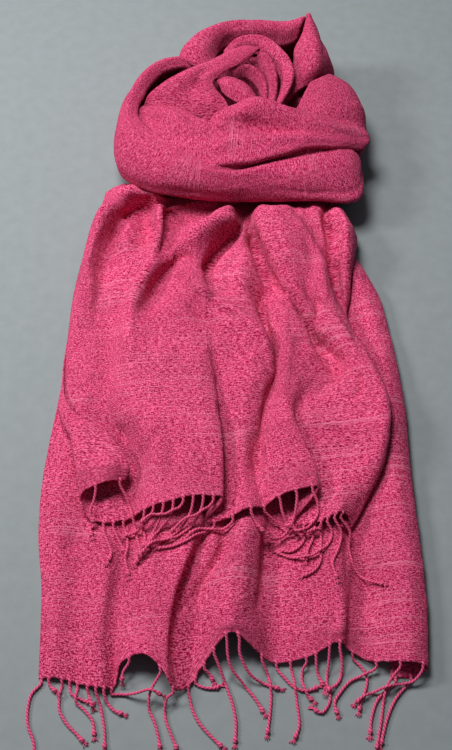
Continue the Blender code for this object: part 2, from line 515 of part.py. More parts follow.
def shortGuides():
    """The short end's folds, each from its hem to where it goes under the loop."""
    guides = []
    for name, hem, numbers, top in SHORT_FOLDS:
        guide = [hem]
        guide += [(x, y, z) for y, x, z in zip(SHORT_LINES[1:-1], numbers[0::2], numbers[1::2])]
        guide.append(top)
        guides.append([(x, y, z * rise) for (x, y, z), rise in zip(guide, SHORT_RISES)])
    return guides


def hemStretch(names, first, last, grid, across):
    """Points, outward and upward directions along a hem between two named folds."""
    start = across.index(names.index(first))
    end = across.index(names.index(last))
    hem = grid[0, start:end + 1]
    inward = grid[1, start:end + 1] - hem
    tangent = np.gradient(hem, axis=0)
    tangent /= np.linalg.norm(tangent, axis=1)[:, None]
    outward = -(inward - (inward * tangent).sum(1)[:, None] * tangent)
    outward /= np.linalg.norm(outward, axis=1)[:, None]
    upward = np.cross(outward, tangent)
    upward *= np.where(upward[:, 2] < 0, -1, 1)[:, None]
    return hem, outward, upward


def strandRoute(root, outward, points, topAt, laid):
    """A strand's middle line: smooth in plan, lying on cloth, floor and earlier strands."""
    start = [root + outward * STRIP_DEEP * 0.5, root + outward * (STRIP_DEEP + 3.0)]
    plan = [p[:2] for p in start] + [np.array(p, float) for p in points]
    fine = smoothCurve(plan, np.linspace(0, len(plan) - 1, 12 * len(plan)))
    steps = np.concatenate([[0], np.cumsum(np.linalg.norm(np.diff(fine, axis=0), axis=1))])
    count = max(4, int(steps[-1] / 2.0))
    places = np.linspace(0, steps[-1], count)
    plan = np.stack([np.interp(places, steps, fine[:, axis]) for axis in (0, 1)], axis=1)
    thick = STRAND_WIDE * 0.75
    around = ((0, 0), (-2.4, 0), (2.4, 0), (0, -2.4), (0, 2.4), (-4.8, 0), (4.8, 0))
    least = np.array([thick + STRAND_FLOOR + max(topAt(x + dx, y + dy) for dx, dy in around)
                      for x, y in plan])
    if len(laid):
        clear = STRAND_WIDE * 2.0
        for index, here in enumerate(plan):
            near = np.linalg.norm(laid[:, :2] - here, axis=1) < clear
            if near.any() and places[index] > 4.0:
                least[index] = max(least[index], laid[near, 2].max() + STRAND_WIDE + 1.8)
    least[0] = root[2]
    slope = 0.55
    height = (least[None, :] - slope * np.abs(places[:, None] - places[None, :])).max(axis=1)
    drop = root[2] - places * 0.9
    height = np.maximum(height, drop)
    return np.column_stack([plan, height])


def fringeMesh(hem, outward, upward, strands, topAt, bedAt, laid):
    """A strip along the hem with its strands drawn out of its outer side."""
    order = 1 if hem[-1, 0] > hem[0, 0] else -1
    hem, outward, upward = hem[::order], outward[::order], upward[::order]
    halfRoot = STRAND_WIDE * 0.5
    start, end = hem[0, 0] + STRIP_TRIM, hem[-1, 0] - STRIP_TRIM
    kept = [x for x in hem[:, 0] if all(abs(x - root) > halfRoot * 1.5 for root, _ in strands)]
    places = [start] + [x for x in kept if start + 1.0 < x < end - 1.0] + [end]
    for root, _ in strands:
        places += [root - halfRoot, root + halfRoot]
    places = sorted(places)
    for here, there in list(zip(places, places[1:])):
        if there - here > 9.0:
            places.append((here + there) / 2)
    places = np.array(sorted(places))
    spots = np.stack([np.interp(places, hem[:, 0], hem[:, axis]) for axis in range(3)], axis=1)
    away = np.stack([np.interp(places, hem[:, 0], outward[:, axis]) for axis in range(3)], axis=1)
    above = np.stack([np.interp(places, hem[:, 0], upward[:, axis]) for axis in range(3)], axis=1)
    away /= np.linalg.norm(away, axis=1)[:, None]
    above /= np.linalg.norm(above, axis=1)[:, None]
    near = spots + away * SEAM_GAP
    far = spots + away * (SEAM_GAP + STRIP_DEEP)
    corners = np.stack([near - above * HALF_WALL, near + above * HALF_WALL,
                        far + above * HALF_WALL, far - above * HALF_WALL], axis=1)
    for section in corners:
        section[:, 2] += max(0.0, bedAt(section) + REST_GAP - section[:, 2].min())
    points = [tuple(p) for p in corners.reshape(-1, 3)]
    faces = [[0, 1, 2, 3], [4 * len(places) - 1 - side for side in range(4)]]
    roots = {round(root - halfRoot, 4): (root, route) for root, route in strands}
    for index in range(len(places) - 1):
        here, there = 4 * index, 4 * index + 4
        for side in range(4):
            turn = (side + 1) % 4
            face = [here + side, there + side, there + turn, here + turn]
            if side == 2 and round(places[index], 4) in roots:
                root, route = roots[round(places[index], 4)]
                middle = np.mean([points[corner] for corner in face], axis=0)
                middle = middle - away[index] * STRIP_DEEP
                line = strandRoute(middle, away[index], route, topAt, laid[0])
                addStrand(points, faces, face, line)
                laid[0] = np.vstack([laid[0], line]) if len(laid[0]) else line
            else:
                faces.append(face)
    return points, faces


def closestTurn(ring, corner):
    """How far a ring is from the root's corners at best, and the turn that gives it."""
    found = []
    for turn in range(4):
        found.append((np.linalg.norm(np.roll(ring, turn, axis=0) - corner), turn))
    return min(found)


def addStrand(points, faces, rootFace, line):
    """Four sides drawn along a strand's line from one face of the strip."""
    steps = np.concatenate([[0], np.cumsum(np.linalg.norm(np.diff(line, axis=0), axis=1))])
    first = STRIP_DEEP + 2.5
    count = max(3, round((steps[-1] - first) / STRAND_STEP))
    places = np.linspace(first, steps[-1], count + 1)
    spots = np.stack([np.interp(places, steps, line[:, axis]) for axis in range(3)], axis=1)
    ways = np.gradient(spots, axis=0)
    ways /= np.linalg.norm(ways, axis=1)[:, None]
    across = np.cross(ways, (0, 0, 1))
    across /= np.linalg.norm(across, axis=1)[:, None]
    over = np.cross(across, ways)
    corner = np.array([points[index] for index in rootFace])
    ring = list(rootFace)
    half = STRAND_WIDE / 2
    for index, spot in enumerate(spots):
        turns = [(-1, -1), (-1, 1), (1, 1), (1, -1)]
        new = np.array([spot + (a * across[index] + b * over[index]) * half for a, b in turns])
        if index == 0:
            straight, turned = closestTurn(new, corner)
            back, turnedBack = closestTurn(new[::-1], corner)
            useFlip = back < straight
            shift = turnedBack if useFlip else turned
        new = np.roll(new[::-1] if useFlip else new, shift, axis=0)
        base = len(points)
        points += [tuple(p) for p in new]
        for side in range(4):
            turn = (side + 1) % 4
            faces.append([ring[side], ring[turn], base + turn, base + side])
        ring = [base + side for side in range(4)]
    faces.append(ring)


# ---------------------------------------------------------------- the wound loop
def bandSections(table):
    """Sections of a stretch, from full rows or from rows of two edges and a rise."""
    sections = []
    for row in table:
        if len(row) == 3 and not isinstance(row[2], tuple):
            first, last = np.array(row[0], float), np.array(row[1], float)
            rise = np.array((0, 0, row[2]))
            row = [first, (first + last) / 2 + rise, last]
        sections.append(np.array(row, float))
    return sections


def bandGrid(table, alongPieces=2, acrossPieces=2):
    """A grid of points over a stretch, with so many pieces between its rows and points."""
    sections = np.array(bandSections(table))
    count, wide = sections.shape[:2]
    alongPlaces = np.linspace(0, count - 1, (count - 1) * alongPieces + 1)
    acrossPlaces = np.linspace(0, wide - 1, (wide - 1) * acrossPieces + 1)
    lines = np.array([smoothCurve(sections[:, spot], alongPlaces) for spot in range(wide)])
    return np.array([smoothCurve(lines[:, row], acrossPlaces) for row in range(len(alongPlaces))])


def heapMesh():
    """The hidden layers: flat underneath, rolled at the edge, hollow under the coil."""
    around = len(HEAP_OUTLINE)
    closed = np.array(HEAP_OUTLINE + HEAP_OUTLINE[:2], float)
    outline = smoothCurve(closed, np.linspace(0, around, 2 * around + 1)[:-1])
    centre = outline.mean(axis=0)
    rings = []
    flank = HEAP_TOP * 0.72
    for roll in range(HEAP_ROLLS):
        for part in (0.0, 0.5):
            height = flank * (roll + part) / HEAP_ROLLS
            inset = HEAP_ROLL_DEEP * (1.0 if part == 0.0 else 0.0) + 1.5 * roll
            rings.append((height, inset))
    rings += [(flank, 9.0), (HEAP_TOP * 0.9, 22.0), (HEAP_TOP, 38.0), (HEAP_PIT, 64.0)]
    points = []
    for height, inset in rings:
        outward = outline - centre
        reach = np.linalg.norm(outward, axis=1)[:, None]
        ring = centre + outward * (reach - inset) / reach
        points += [(x, y, height) for x, y in ring]
    sides = len(outline)
    faces = [list(range(sides))[::-1]]
    for level in range(len(rings) - 1):
        for side in range(sides):
            turn = (side + 1) % sides
            low, high = level * sides, (level + 1) * sides
            faces.append([low + side, low + turn, high + turn, high + side])
    faces.append([(len(rings) - 1) * sides + side for side in range(sides)])
    return points, faces


def buildScarf():
    longNames = [fold[0] for fold in LONG_FOLDS]
    shortNames = [fold[0] for fold in SHORT_FOLDS]
    longLines = longGuides()
    longGrid, longAcross = foldedSheet(longLines, LONG_ROWS, 22.0)
    longGrid[..., 2] = np.maximum(longGrid[..., 2], HALF_WALL)
    longWall = wallMesh(longGrid, floor=0.0)
    addPiece("long_end", *longWall, ROSE)

    onLong = topFinder([longWall])
    shortLines = shortGuides()
    shortGrid, shortAcross = foldedSheet(shortLines, SHORT_ROWS, 22.0)
    for row in shortGrid:
        for point in row:
            under = max(onLong(point[0] + shift, point[1]) for shift in (-5.0, 0.0, 5.0))
            point[2] = max(point[2], HALF_WALL + REST_GAP) + under
    shortWall = wallMesh(shortGrid)
    addPiece("short_end", *shortWall, ROSE)

    bands = (
        ("front_collar", FRONT_COLLAR, ROSE), ("back_loop", BACK_LOOP, ROSE_SHADE),
        ("right_band", RIGHT_BAND, ROSE_SHADE), ("right_shoulder", RIGHT_SHOULDER, ROSE),
        ("upper_drape", UPPER_DRAPE, ROSE), ("diagonal_band", DIAGONAL_BAND, ROSE),
        ("rosette_outer", ROSETTE_OUTER, ROSE_SHADE), ("rosette_middle", ROSETTE_MIDDLE, ROSE),
        ("rosette_inner", ROSETTE_INNER, ROSE_SHADE), ("rosette_tongue", ROSETTE_TONGUE, ROSE),
    )
    for name, table, colour in bands:
        addPiece(name, *wallMesh(bandGrid(table)), colour)
    addPiece("hidden_layers", *heapMesh(), ROSE_SHADE)

    sheets = (
        (LONG_FRINGES, longNames, longGrid, longAcross, []),
        (SHORT_FRINGES, shortNames, shortGrid, shortAcross, [longWall, shortWall]),
    )
    for fringes, names, grid, across, walls in sheets:
        laid = [np.zeros((0, 3))]
        bed = topFinder(walls[:1])
        for name, first, last, strands in fringes:
            topAt = topFinder(walls)
            bedAt = lambda section: max(bed(x, y) for x, y, _ in section)
            hem, outward, upward = hemStretch(names, first, last, grid, across)
            mesh = fringeMesh(hem, outward, upward, strands, topAt, bedAt, laid)
            addPiece(name, *mesh, ROSE)
            walls.append(mesh)


def clearScene():
    for item in list(bpy.data.objects):
        bpy.data.objects.remove(item, do_unlink=True)


clearScene()
buildScarf()
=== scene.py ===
import math

import bpy
import numpy as np
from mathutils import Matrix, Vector, noise
from mathutils.bvhtree import BVHTree


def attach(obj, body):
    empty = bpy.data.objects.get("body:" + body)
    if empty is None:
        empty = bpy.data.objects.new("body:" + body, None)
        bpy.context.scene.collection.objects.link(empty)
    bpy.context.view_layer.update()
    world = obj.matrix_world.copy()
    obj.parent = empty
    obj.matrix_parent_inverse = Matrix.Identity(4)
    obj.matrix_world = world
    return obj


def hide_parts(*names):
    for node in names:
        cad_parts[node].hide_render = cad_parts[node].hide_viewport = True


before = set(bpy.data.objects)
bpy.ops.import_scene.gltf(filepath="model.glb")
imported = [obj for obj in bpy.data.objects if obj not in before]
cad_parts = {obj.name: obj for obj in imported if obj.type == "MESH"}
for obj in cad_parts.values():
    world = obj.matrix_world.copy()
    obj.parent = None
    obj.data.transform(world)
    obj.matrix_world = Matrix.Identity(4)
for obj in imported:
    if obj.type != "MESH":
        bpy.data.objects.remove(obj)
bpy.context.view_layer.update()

# Tables are in millimetres: x across, y away from the fringed ends, z up from the table top.
scarf = {
    "middleX": 3.05,       # the middle of the whole scarf in the tables
    "middleY": 28.4,
    "wall": 2.0,           # cloth with its nub
    "restGap": 1.2,        # air between a layer and the layer it lies on
    "longFoldRise": 1.4,   # the long end's folds stand this much over their drawn heights
    "sheetStep": 3.0,      # fineness of the two ends
    "loopStep": 2.6,       # fineness of the wound loop
    "curlParts": 6,        # fineness of a rolled edge
    "hemWaveLong": 9.0,    # a hem's own unevenness, along the hem
    "hemWaveDeep": 1.4,    # and across it
    "wellAbove": 300.0,    # higher than any cloth
}
foldShape = {
    "creaseEnds": 0.7,     # below 1, a crease keeps its depth longer towards its ends
    "fade": 0.22,          # the share of a drawn fold over which each end of it fades out
    "reach": 45,           # nothing further than this from a drawn fold is lifted
    "fineness": 8,         # points along a drawn fold for each point in its row
}
millimetre = 0.001
halfWall = scarf["wall"] / 2
tiny = 1e-9                # keeps a division by a length safe


def smoothLine(points, places):
    # a smooth curve through the points, read at places counted in points. Its knots are spaced by
    # the root of each gap, which keeps it from looping between close points
    points = np.asarray(points, float)
    last = len(points) - 1
    padded = np.vstack([2 * points[0] - points[1], points, 2 * points[-1] - points[-2]])
    gaps = np.sqrt(np.maximum(np.linalg.norm(np.diff(padded, axis=0), axis=1), tiny))
    knots = np.concatenate([[0.0], np.cumsum(gaps)])
    places = np.asarray(places, float)
    piece = np.minimum(places.astype(int), last - 1)
    k0, k1, k2, k3 = (knots[piece + n][:, None] for n in range(4))
    p0, p1, p2, p3 = (padded[piece + n] for n in range(4))
    t = k1 + (places - piece)[:, None] * (k2 - k1)
    a1 = (k1 - t) / (k1 - k0) * p0 + (t - k0) / (k1 - k0) * p1
    a2 = (k2 - t) / (k2 - k1) * p1 + (t - k1) / (k2 - k1) * p2
    a3 = (k3 - t) / (k3 - k2) * p2 + (t - k2) / (k3 - k2) * p3
    b1 = (k2 - t) / (k2 - k0) * a1 + (t - k0) / (k2 - k0) * a2
    b2 = (k3 - t) / (k3 - k1) * a2 + (t - k1) / (k3 - k1) * a3
    return (k2 - t) / (k2 - k1) * b1 + (t - k1) / (k2 - k1) * b2


def distancesAlong(line):
    return np.concatenate([[0], np.cumsum(np.linalg.norm(np.diff(line, axis=0), axis=1))])


def unitVectors(vectors):
    return vectors / np.maximum(np.linalg.norm(vectors, axis=-1), tiny)[..., None]


def placesBetween(lines, step):
    # places at every line and evenly between lines, about a step apart. The step may be one for
    # all gaps, or a list with one for each gap
    places = []
    steps = step if hasattr(step, "__len__") else [step] * (len(lines) - 1)
    for index, here in enumerate(steps):
        gap = np.linalg.norm(lines[index + 1] - lines[index], axis=-1).max()
        count = max(1, round(gap / here))
        places += [index + part / count for part in range(count)]
    return np.array(places + [len(lines) - 1.0])


def gridThrough(guides, alongStep, acrossStep):
    # each row of the grid crosses all guides, and each column runs along them
    guides = np.array(guides, float)
    along = placesBetween(np.swapaxes(guides, 0, 1), alongStep)
    across = placesBetween(guides, acrossStep)
    lines = np.array([smoothLine(guide, along) for guide in guides])
    rows = [smoothLine(lines[:, row], across) for row in range(len(along))]
    return np.array(rows), across


def gridNormals(grid):
    facing = unitVectors(np.cross(grid[1:, 1:] - grid[:-1, :-1], grid[1:, :-1] - grid[:-1, 1:]))
    normal = np.zeros_like(grid)
    for rows in (slice(None, -1), slice(1, None)):
        for columns in (slice(None, -1), slice(1, None)):
            normal[rows, columns] += facing
    return unitVectors(normal)


def clothLay(grid):
    # where each point is on the flat cloth: across its width, and along its length
    acrossGaps = np.linalg.norm(np.diff(grid, axis=1), axis=2).mean(axis=0)
    alongGaps = np.linalg.norm(np.diff(grid, axis=0), axis=2).mean(axis=1)
    across = np.concatenate([[0.0], np.cumsum(acrossGaps)])
    along = np.concatenate([[0.0], np.cumsum(alongGaps)])
    return np.stack(np.broadcast_arrays(across[None, :], along[:, None]), axis=2)


def creaseHeights(lay, creases):
    # soft ridges and troughs, deepest in the middle of their length
    heights = np.zeros(lay.shape[:2])
    for fromX, fromY, toX, toY, bow, halfWidth, rise in creases:
        start, run = np.array((fromX, fromY)), np.array((toX - fromX, toY - fromY), float)
        length = np.linalg.norm(run)
        run /= length
        share = np.clip(((lay - start) @ run) / length, 0.0, 1.0)
        side = (lay - start) @ np.array((-run[1], run[0])) - bow * 4 * share * (1 - share)
        ends = np.sin(math.pi * share) ** foldShape["creaseEnds"]
        heights += rise * np.exp(-(side / halfWidth) ** 2) * ends
    return heights


def foldHeights(plan, folds):
    # ridges and troughs along drawn lines: each row has the width on the left and on the right
    # of the line, the rise, and the line's x and y at each point
    heights = np.zeros(plan.shape[:2])
    spots = plan.reshape(-1, 2)
    fade, reach = foldShape["fade"], foldShape["reach"]
    for leftWidth, rightWidth, rise, *numbers in folds:
        line = np.reshape(numbers, (-1, 2)).astype(float)
        line = smoothLine(line, np.linspace(0, len(line) - 1, foldShape["fineness"] * len(line)))
        low, high = line.min(axis=0) - reach, line.max(axis=0) + reach
        near = np.flatnonzero(((spots > low) & (spots < high)).all(axis=1))
        away = spots[near][:, None, :] - line[None, :, :]
        nearest = np.linalg.norm(away, axis=2).argmin(axis=1)
        gap = away[np.arange(len(near)), nearest]
        way = np.gradient(line, axis=0)[nearest]
        left = way[:, 0] * gap[:, 1] - way[:, 1] * gap[:, 0] > 0
        wide = np.where(left, leftWidth, rightWidth)
        share = nearest / (len(line) - 1)
        ends = np.clip(share / fade, 0, 1) * np.clip((1 - share) / fade, 0, 1)
        found = rise * ends * np.exp(-(np.linalg.norm(gap, axis=1) / wide) ** 2)
        heights.reshape(-1)[near] += found
    return heights


def crinkle(lay, waves, seed):
    # uneven puckers of a cloth with hard-twisted yarn: (across, along, height) of each wave
    heights = np.zeros(lay.shape[:2])
    for wide, long, rise in waves:
        spots = lay / (wide, long)
        for row in range(lay.shape[0]):
            heights[row] += [rise * noise.noise(Vector((u, v, seed))) for u, v in spots[row]]
    return heights


def frontSide(normals):
    return 1.0 if normals[..., 2].mean() > 0 else -1.0


def curlEdge(grid, edge, radius, turn):
    # rolls one edge over and under, so that a fold shows there
    turned = np.swapaxes(grid, 0, 1) if edge in ("start", "end") else grid
    flipped = turned[:, ::-1] if edge in ("first", "start") else turned
    normals = gridNormals(flipped)
    rim, out = flipped[:, -1], unitVectors(flipped[:, -1] - flipped[:, -2])
    up = normals[:, -1] * frontSide(normals)
    added = []
    for part in range(1, scarf["curlParts"] + 1):
        angle = math.radians(turn) * part / scarf["curlParts"]
        added.append(rim + radius * (math.sin(angle) * out - (1 - math.cos(angle)) * up))
    curled = np.concatenate([flipped, np.stack(added, axis=1)], axis=1)
    curled = curled[:, ::-1] if edge in ("first", "start") else curled
    return np.swapaxes(curled, 0, 1) if edge in ("start", "end") else curled


def inWorld(points):
    moved = np.asarray(points, float) - (scarf["middleX"], scarf["middleY"], 0.0)
    return moved * millimetre


def newObject(name, data):
    made = bpy.data.objects.new(name, data)
    bpy.context.scene.collection.objects.link(made)
    return made


def makePiece(name, points, faces, layPoints, material, groove=None):
    mesh = bpy.data.meshes.new(name)
    mesh.from_pydata(inWorld(points).tolist(), [], faces)
    layer = mesh.uv_layers.new(name="clothLay")
    corners = np.zeros(len(mesh.loops), dtype=np.int32)
    mesh.loops.foreach_get("vertex_index", corners)
    layer.data.foreach_set("uv", (np.asarray(layPoints) * millimetre)[corners].ravel())
    if groove is not None:
        kept = mesh.attributes.new("plyGrooveShade", "FLOAT", "POINT")
        kept.data.foreach_set("value", np.asarray(groove, np.float32))
    mesh.shade_smooth()
    piece = newObject(name, mesh)
    mesh.materials.append(material)
    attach(piece, "root")
    return piece


def clothWall(middle, floor):
    # both sides of the cloth and its four edges, closed, with no point below the floor
    normal = gridNormals(middle)
    upper, lower = middle + normal * halfWall, middle - normal * halfWall
    if floor is not None:
        for side in (upper, lower):
            side[..., 2] = np.maximum(side[..., 2], floor)
    rows, columns = middle.shape[:2]
    index = np.arange(rows * columns).reshape(rows, columns)
    a, b, c, d = index[:-1, :-1], index[:-1, 1:], index[1:, 1:], index[1:, :-1]
    top = np.stack([a, b, c, d], axis=-1).reshape(-1, 4)
    shift = rows * columns
    under = top[:, ::-1] + shift
    rim = np.concatenate([index[0], index[1:, -1], index[-1, -2::-1], index[-2:0:-1, 0]])
    after = np.roll(rim, -1)
    sides = np.stack([after, rim, rim + shift, after + shift], axis=1)
    points = np.vstack([upper.reshape(-1, 3), lower.reshape(-1, 3)])
    faces = np.vstack([top, under, sides])
    first, second, third = (points[faces[:, corner]] for corner in range(3))
    volume = np.einsum("ij,ij->i", first, np.cross(second - first, third - first)).sum()
    if volume < 0:
        faces = faces[:, ::-1]
    return points, faces.tolist()


def makeCloth(name, grid, lay, material, floor=None):
    points, faces = clothWall(grid, floor)
    layPoints = np.vstack([lay.reshape(-1, 2)] * 2)
    return makePiece(name, points, faces, layPoints, material)


def topFinder(walls):
    # gives the height of the highest wall under a point, or the table top
    trees = [BVHTree.FromPolygons([tuple(p) for p in points], faces) for points, faces in walls]

    def topAt(x, y):
        height = 0.0
        for tree in trees:
            hit = tree.ray_cast(Vector((x, y, scarf["wellAbove"])), Vector((0, 0, -1)))[0]
            if hit is not None:
                height = max(height, hit.z)
        return height
    return topAt


def linearColour(code):
    # a screen colour's code as the linear values that the shaders take
    parts = [int(code[place:place + 2], 16) / 255 for place in (1, 3, 5)]
    return [p / 12.92 if p <= 0.04045 else ((p + 0.055) / 1.055) ** 2.4 for p in parts] + [1.0]


def addNode(tree, kind, settings=None, values=None, links=None):
    # one node, its settings, its socket values, and what is linked into its sockets
    node = tree.nodes.new(kind)
    for name, value in (settings or {}).items():
        setattr(node, name, value)
    for name, value in (values or {}).items():
        node.inputs[name].default_value = value
    for name, source in (links or {}).items():
        tree.links.new(source, node.inputs[name])
    return node


def addRamp(tree, level, stops):
    node = addNode(tree, "ShaderNodeValToRGB", None, None, {"Fac": level})
    ramp = node.color_ramp
    while len(ramp.elements) < len(stops):
        ramp.elements.new(0.5)
    for element, (place, colour) in zip(ramp.elements, stops):
        element.position = place
        element.color = linearColour(colour)
    return node.outputs["Color"]


def addNoise(tree, lay, marks):
    # noise on the flat cloth: its marks' width and length in millimetres, detail, roughness
    wide, long, detail, roughness = marks
    return addNode(tree, "ShaderNodeTexNoise", None,
                   {"Scale": 1.0, "Detail": detail, "Roughness": roughness},
                   {"Vector": scaledLay(tree, lay, wide, long)}).outputs["Fac"]


def scaledLay(tree, lay, wide, long):
    # the lay is in metres, the marks on it in millimetres
    return addNode(tree, "ShaderNodeMapping", None, {"Scale": (1000 / wide, 1000 / long, 1)},
                   {"Vector": lay}).outputs["Vector"]


def addRange(tree, source, fromMin, fromMax, toMin=0.0, toMax=1.0):
    return addNode(tree, "ShaderNodeMapRange", None,
                   {"From Min": fromMin, "From Max": fromMax, "To Min": toMin, "To Max": toMax},
                   {"Value": source}).outputs["Result"]


def addShare(tree, share, source, others):
    # a share of the source on top of the others
    return addNode(tree, "ShaderNodeMath", {"operation": "MULTIPLY_ADD"}, {1: share},
                   {0: source, 2: others}).outputs["Value"]


def newMaterial(name, finish):
    # a material, with its node tree and its shader set to the finish
    material = bpy.data.materials.new(name)
    material.use_nodes = True
    shader = material.node_tree.nodes["Principled BSDF"]
    for socket, value in finish.items():
        shader.inputs[socket].default_value = value
    return material, material.node_tree, shader


def addBump(tree, shader, height, strength, distance):
    bump = addNode(tree, "ShaderNodeBump", None, {"Strength": strength, "Distance": distance},
                   {"Height": height})
    tree.links.new(bump.outputs["Normal"], shader.inputs["Normal"])


handwoven = {
    # plain weave of hard-twisted yarn on a hand loom: thick and thin picks, open and nubby.
    # height in the weave and the colour there: between yarns, their sides, their tops, the nubs.
    # The darker low places and paler tops are painted shade and light at the weave's scale, over
    # the yarn's own unevenness
    "yarn": ((0.0, "#80062e"), (0.28, "#ac1f4f"), (0.55, "#cf4070"), (1.0, "#ee749b")),
    "slub": "#f793b2",                 # thick soft places in a pick
    "pit": (2.5, 2.0),                 # mm between the holes of the open weave, coarser than the
                                       # real cloth's so that they show
    "pitRandom": 0.7,
    "pitEdge": (0.08, 0.5),            # from the middle of a hole to the top of the yarn
    # marks in the weave: width and length in mm, detail and roughness
    "pick": (4.4, 1.25, 1.0, 0.5),     # the run of one evenly thick piece of a pick
    "end": (1.3, 9.0, 1.0, 0.5),
    "grain": (1.4, 1.0, 1.0, 0.6),
    "slubLine": (170.0, 1.7, 2.0, 0.55),
    "slubPlace": (120.0, 60.0, 1.0, 0.5),
    "patch": (85.0, 85.0, 2.0, 0.5),   # uneven dye
    "pitShare": 0.30,                  # how much of the height each brings, the grain all
    "pickShare": 0.85,
    "endShare": 0.25,
    "meanYarn": 1.315,                 # the middle of the heights
    "slubFrom": (0.54, 0.68),          # what of the slub lines is slub, and how pale it is
    "slubPale": 0.5,
    "placeFrom": 0.52,                 # where slubs lie, lower with more of them
    "placeDrop": 0.08,
    "placeSoft": 0.14,
    "placePale": (0.2, 0.9),
    "patchFrom": (0.3, 0.7),
    "patchTone": (0.88, 1.10),
    "bump": 0.85,
    "relief": 0.0011,                  # m
    "finish": {"Roughness": 0.92, "Specular IOR Level": 0.06, "Sheen Weight": 0.08,
               "Sheen Roughness": 0.55, "Sheen Tint": linearColour("#ff9dbd")},
}


def weaveMaterial(name, shadeTone, slubShare, spread):
    # the tone given darkens or lightens the whole cloth: painted shade, for the copies laid on
    # stretches that lie deeper in shade. slubShare is how many pale picks show, and spread is half
    # the range of yarn heights between the darkest and the palest yarn
    weave = handwoven
    material, tree, shader = newMaterial(name, weave["finish"])
    lay = addNode(tree, "ShaderNodeUVMap", {"uv_map": "clothLay"}).outputs["UV"]
    pits = addNode(tree, "ShaderNodeTexVoronoi", {"feature": "F1"},
                   {"Scale": 1.0, "Randomness": weave["pitRandom"]},
                   {"Vector": scaledLay(tree, lay, *weave["pit"])})
    yarnTop = addRange(tree, pits.outputs["Distance"], *weave["pitEdge"])
    height = addShare(tree, weave["pitShare"], yarnTop, addNoise(tree, lay, weave["grain"]))
    for mark in ("pick", "end"):
        height = addShare(tree, weave[mark + "Share"], addNoise(tree, lay, weave[mark]), height)
    mean = weave["meanYarn"]
    # painted shade and light: darker between and beside the yarns, paler on their tops
    shadedYarnColour = addRamp(tree, addRange(tree, height, mean - spread, mean + spread),
                         weave["yarn"])
    line = addRange(tree, addNoise(tree, lay, weave["slubLine"]), *weave["slubFrom"],
                    0.0, weave["slubPale"])
    paleAt = weave["placeFrom"] - weave["placeDrop"] * slubShare
    place = addRange(tree, addNoise(tree, lay, weave["slubPlace"]), paleAt,
                     paleAt + weave["placeSoft"], *weave["placePale"])
    pale = addNode(tree, "ShaderNodeMath", {"operation": "MULTIPLY"}, None,
                   {0: line, 1: place}).outputs["Value"]
    slubs = addNode(tree, "ShaderNodeMix", {"data_type": "RGBA"},
                    {"B": linearColour(weave["slub"])}, {"Factor": pale, "A": shadedYarnColour})
    # uneven dye of the cloth, times the painted shade that the tone gives this copy
    dyeAndShade = addRange(tree, addNoise(tree, lay, weave["patch"]), *weave["patchFrom"],
                   *(shadeTone * share for share in weave["patchTone"]))
    dyedAndShaded = addNode(tree, "ShaderNodeVectorMath", {"operation": "SCALE"}, None,
                   {0: slubs.outputs["Result"], "Scale": dyeAndShade})
    tree.links.new(dyedAndShaded.outputs["Vector"], shader.inputs["Base Color"])
    addBump(tree, shader, height, weave["bump"], weave["relief"])
    return material


twisted = {
    # the same yarn twisted in two plies, with painted shade: dark in the groove between them
    "yarn": ((0.05, "#8e1c48"), (0.55, "#c23a68"), (1.0, "#e4648c")),
    "fuzz": (3.0, 3.0, 2.0, 0.6),      # width and length in mm, detail and roughness
    "fuzzShare": 0.5,
    "bump": 0.5,
    "relief": 0.0005,                  # m
    "finish": {"Roughness": 0.9, "Specular IOR Level": 0.08, "Sheen Weight": 0.1,
               "Sheen Roughness": 0.5, "Sheen Tint": linearColour("#ff9dbd")},
}


def strandMaterial():
    material, tree, shader = newMaterial("twistedTwoPlyYarn", twisted["finish"])
    lay = addNode(tree, "ShaderNodeUVMap", {"uv_map": "clothLay"}).outputs["UV"]
    # painted shade: darker in the groove between the two plies
    groove = addNode(tree, "ShaderNodeAttribute", {"attribute_name": "plyGrooveShade"})
    fuzz = addNoise(tree, lay, twisted["fuzz"])
    level = addShare(tree, twisted["fuzzShare"], fuzz, groove.outputs["Fac"])
    tree.links.new(addRamp(tree, level, twisted["yarn"]), shader.inputs["Base Color"])
    addBump(tree, shader, fuzz, twisted["bump"], twisted["relief"])
    return material


studio = {
    # metres and degrees
    "cameraHeight": 1.413,
    "cameraTilt": 60,                  # looking down from level
    "lens": 60,
    "sensorHeight": 36,
    "floorReach": 6.0,
    "floorDrop": 0.0003,
    "floorMarks": {"Scale": 60.0, "Detail": 3.0},
    "floorTones": ((0.3, "#80878a"), (0.7, "#858c90")),
    "floorFinish": {"Roughness": 0.75},
    # name, place, size, power, colour
    "lights": (("overheadSoftbox", (-0.42, 0.66, 1.66), 0.7, 33.0, (1.0, 0.99, 0.97)),
               ("windowLight", (-1.9, 0.5, 1.5), 0.5, 31.0, (1.0, 0.98, 0.95))),
    "aim": (0, 0.02, 0.03),
    "room": (0.86, 0.93, 1.0, 1.0),
    "roomLight": 0.09,
}


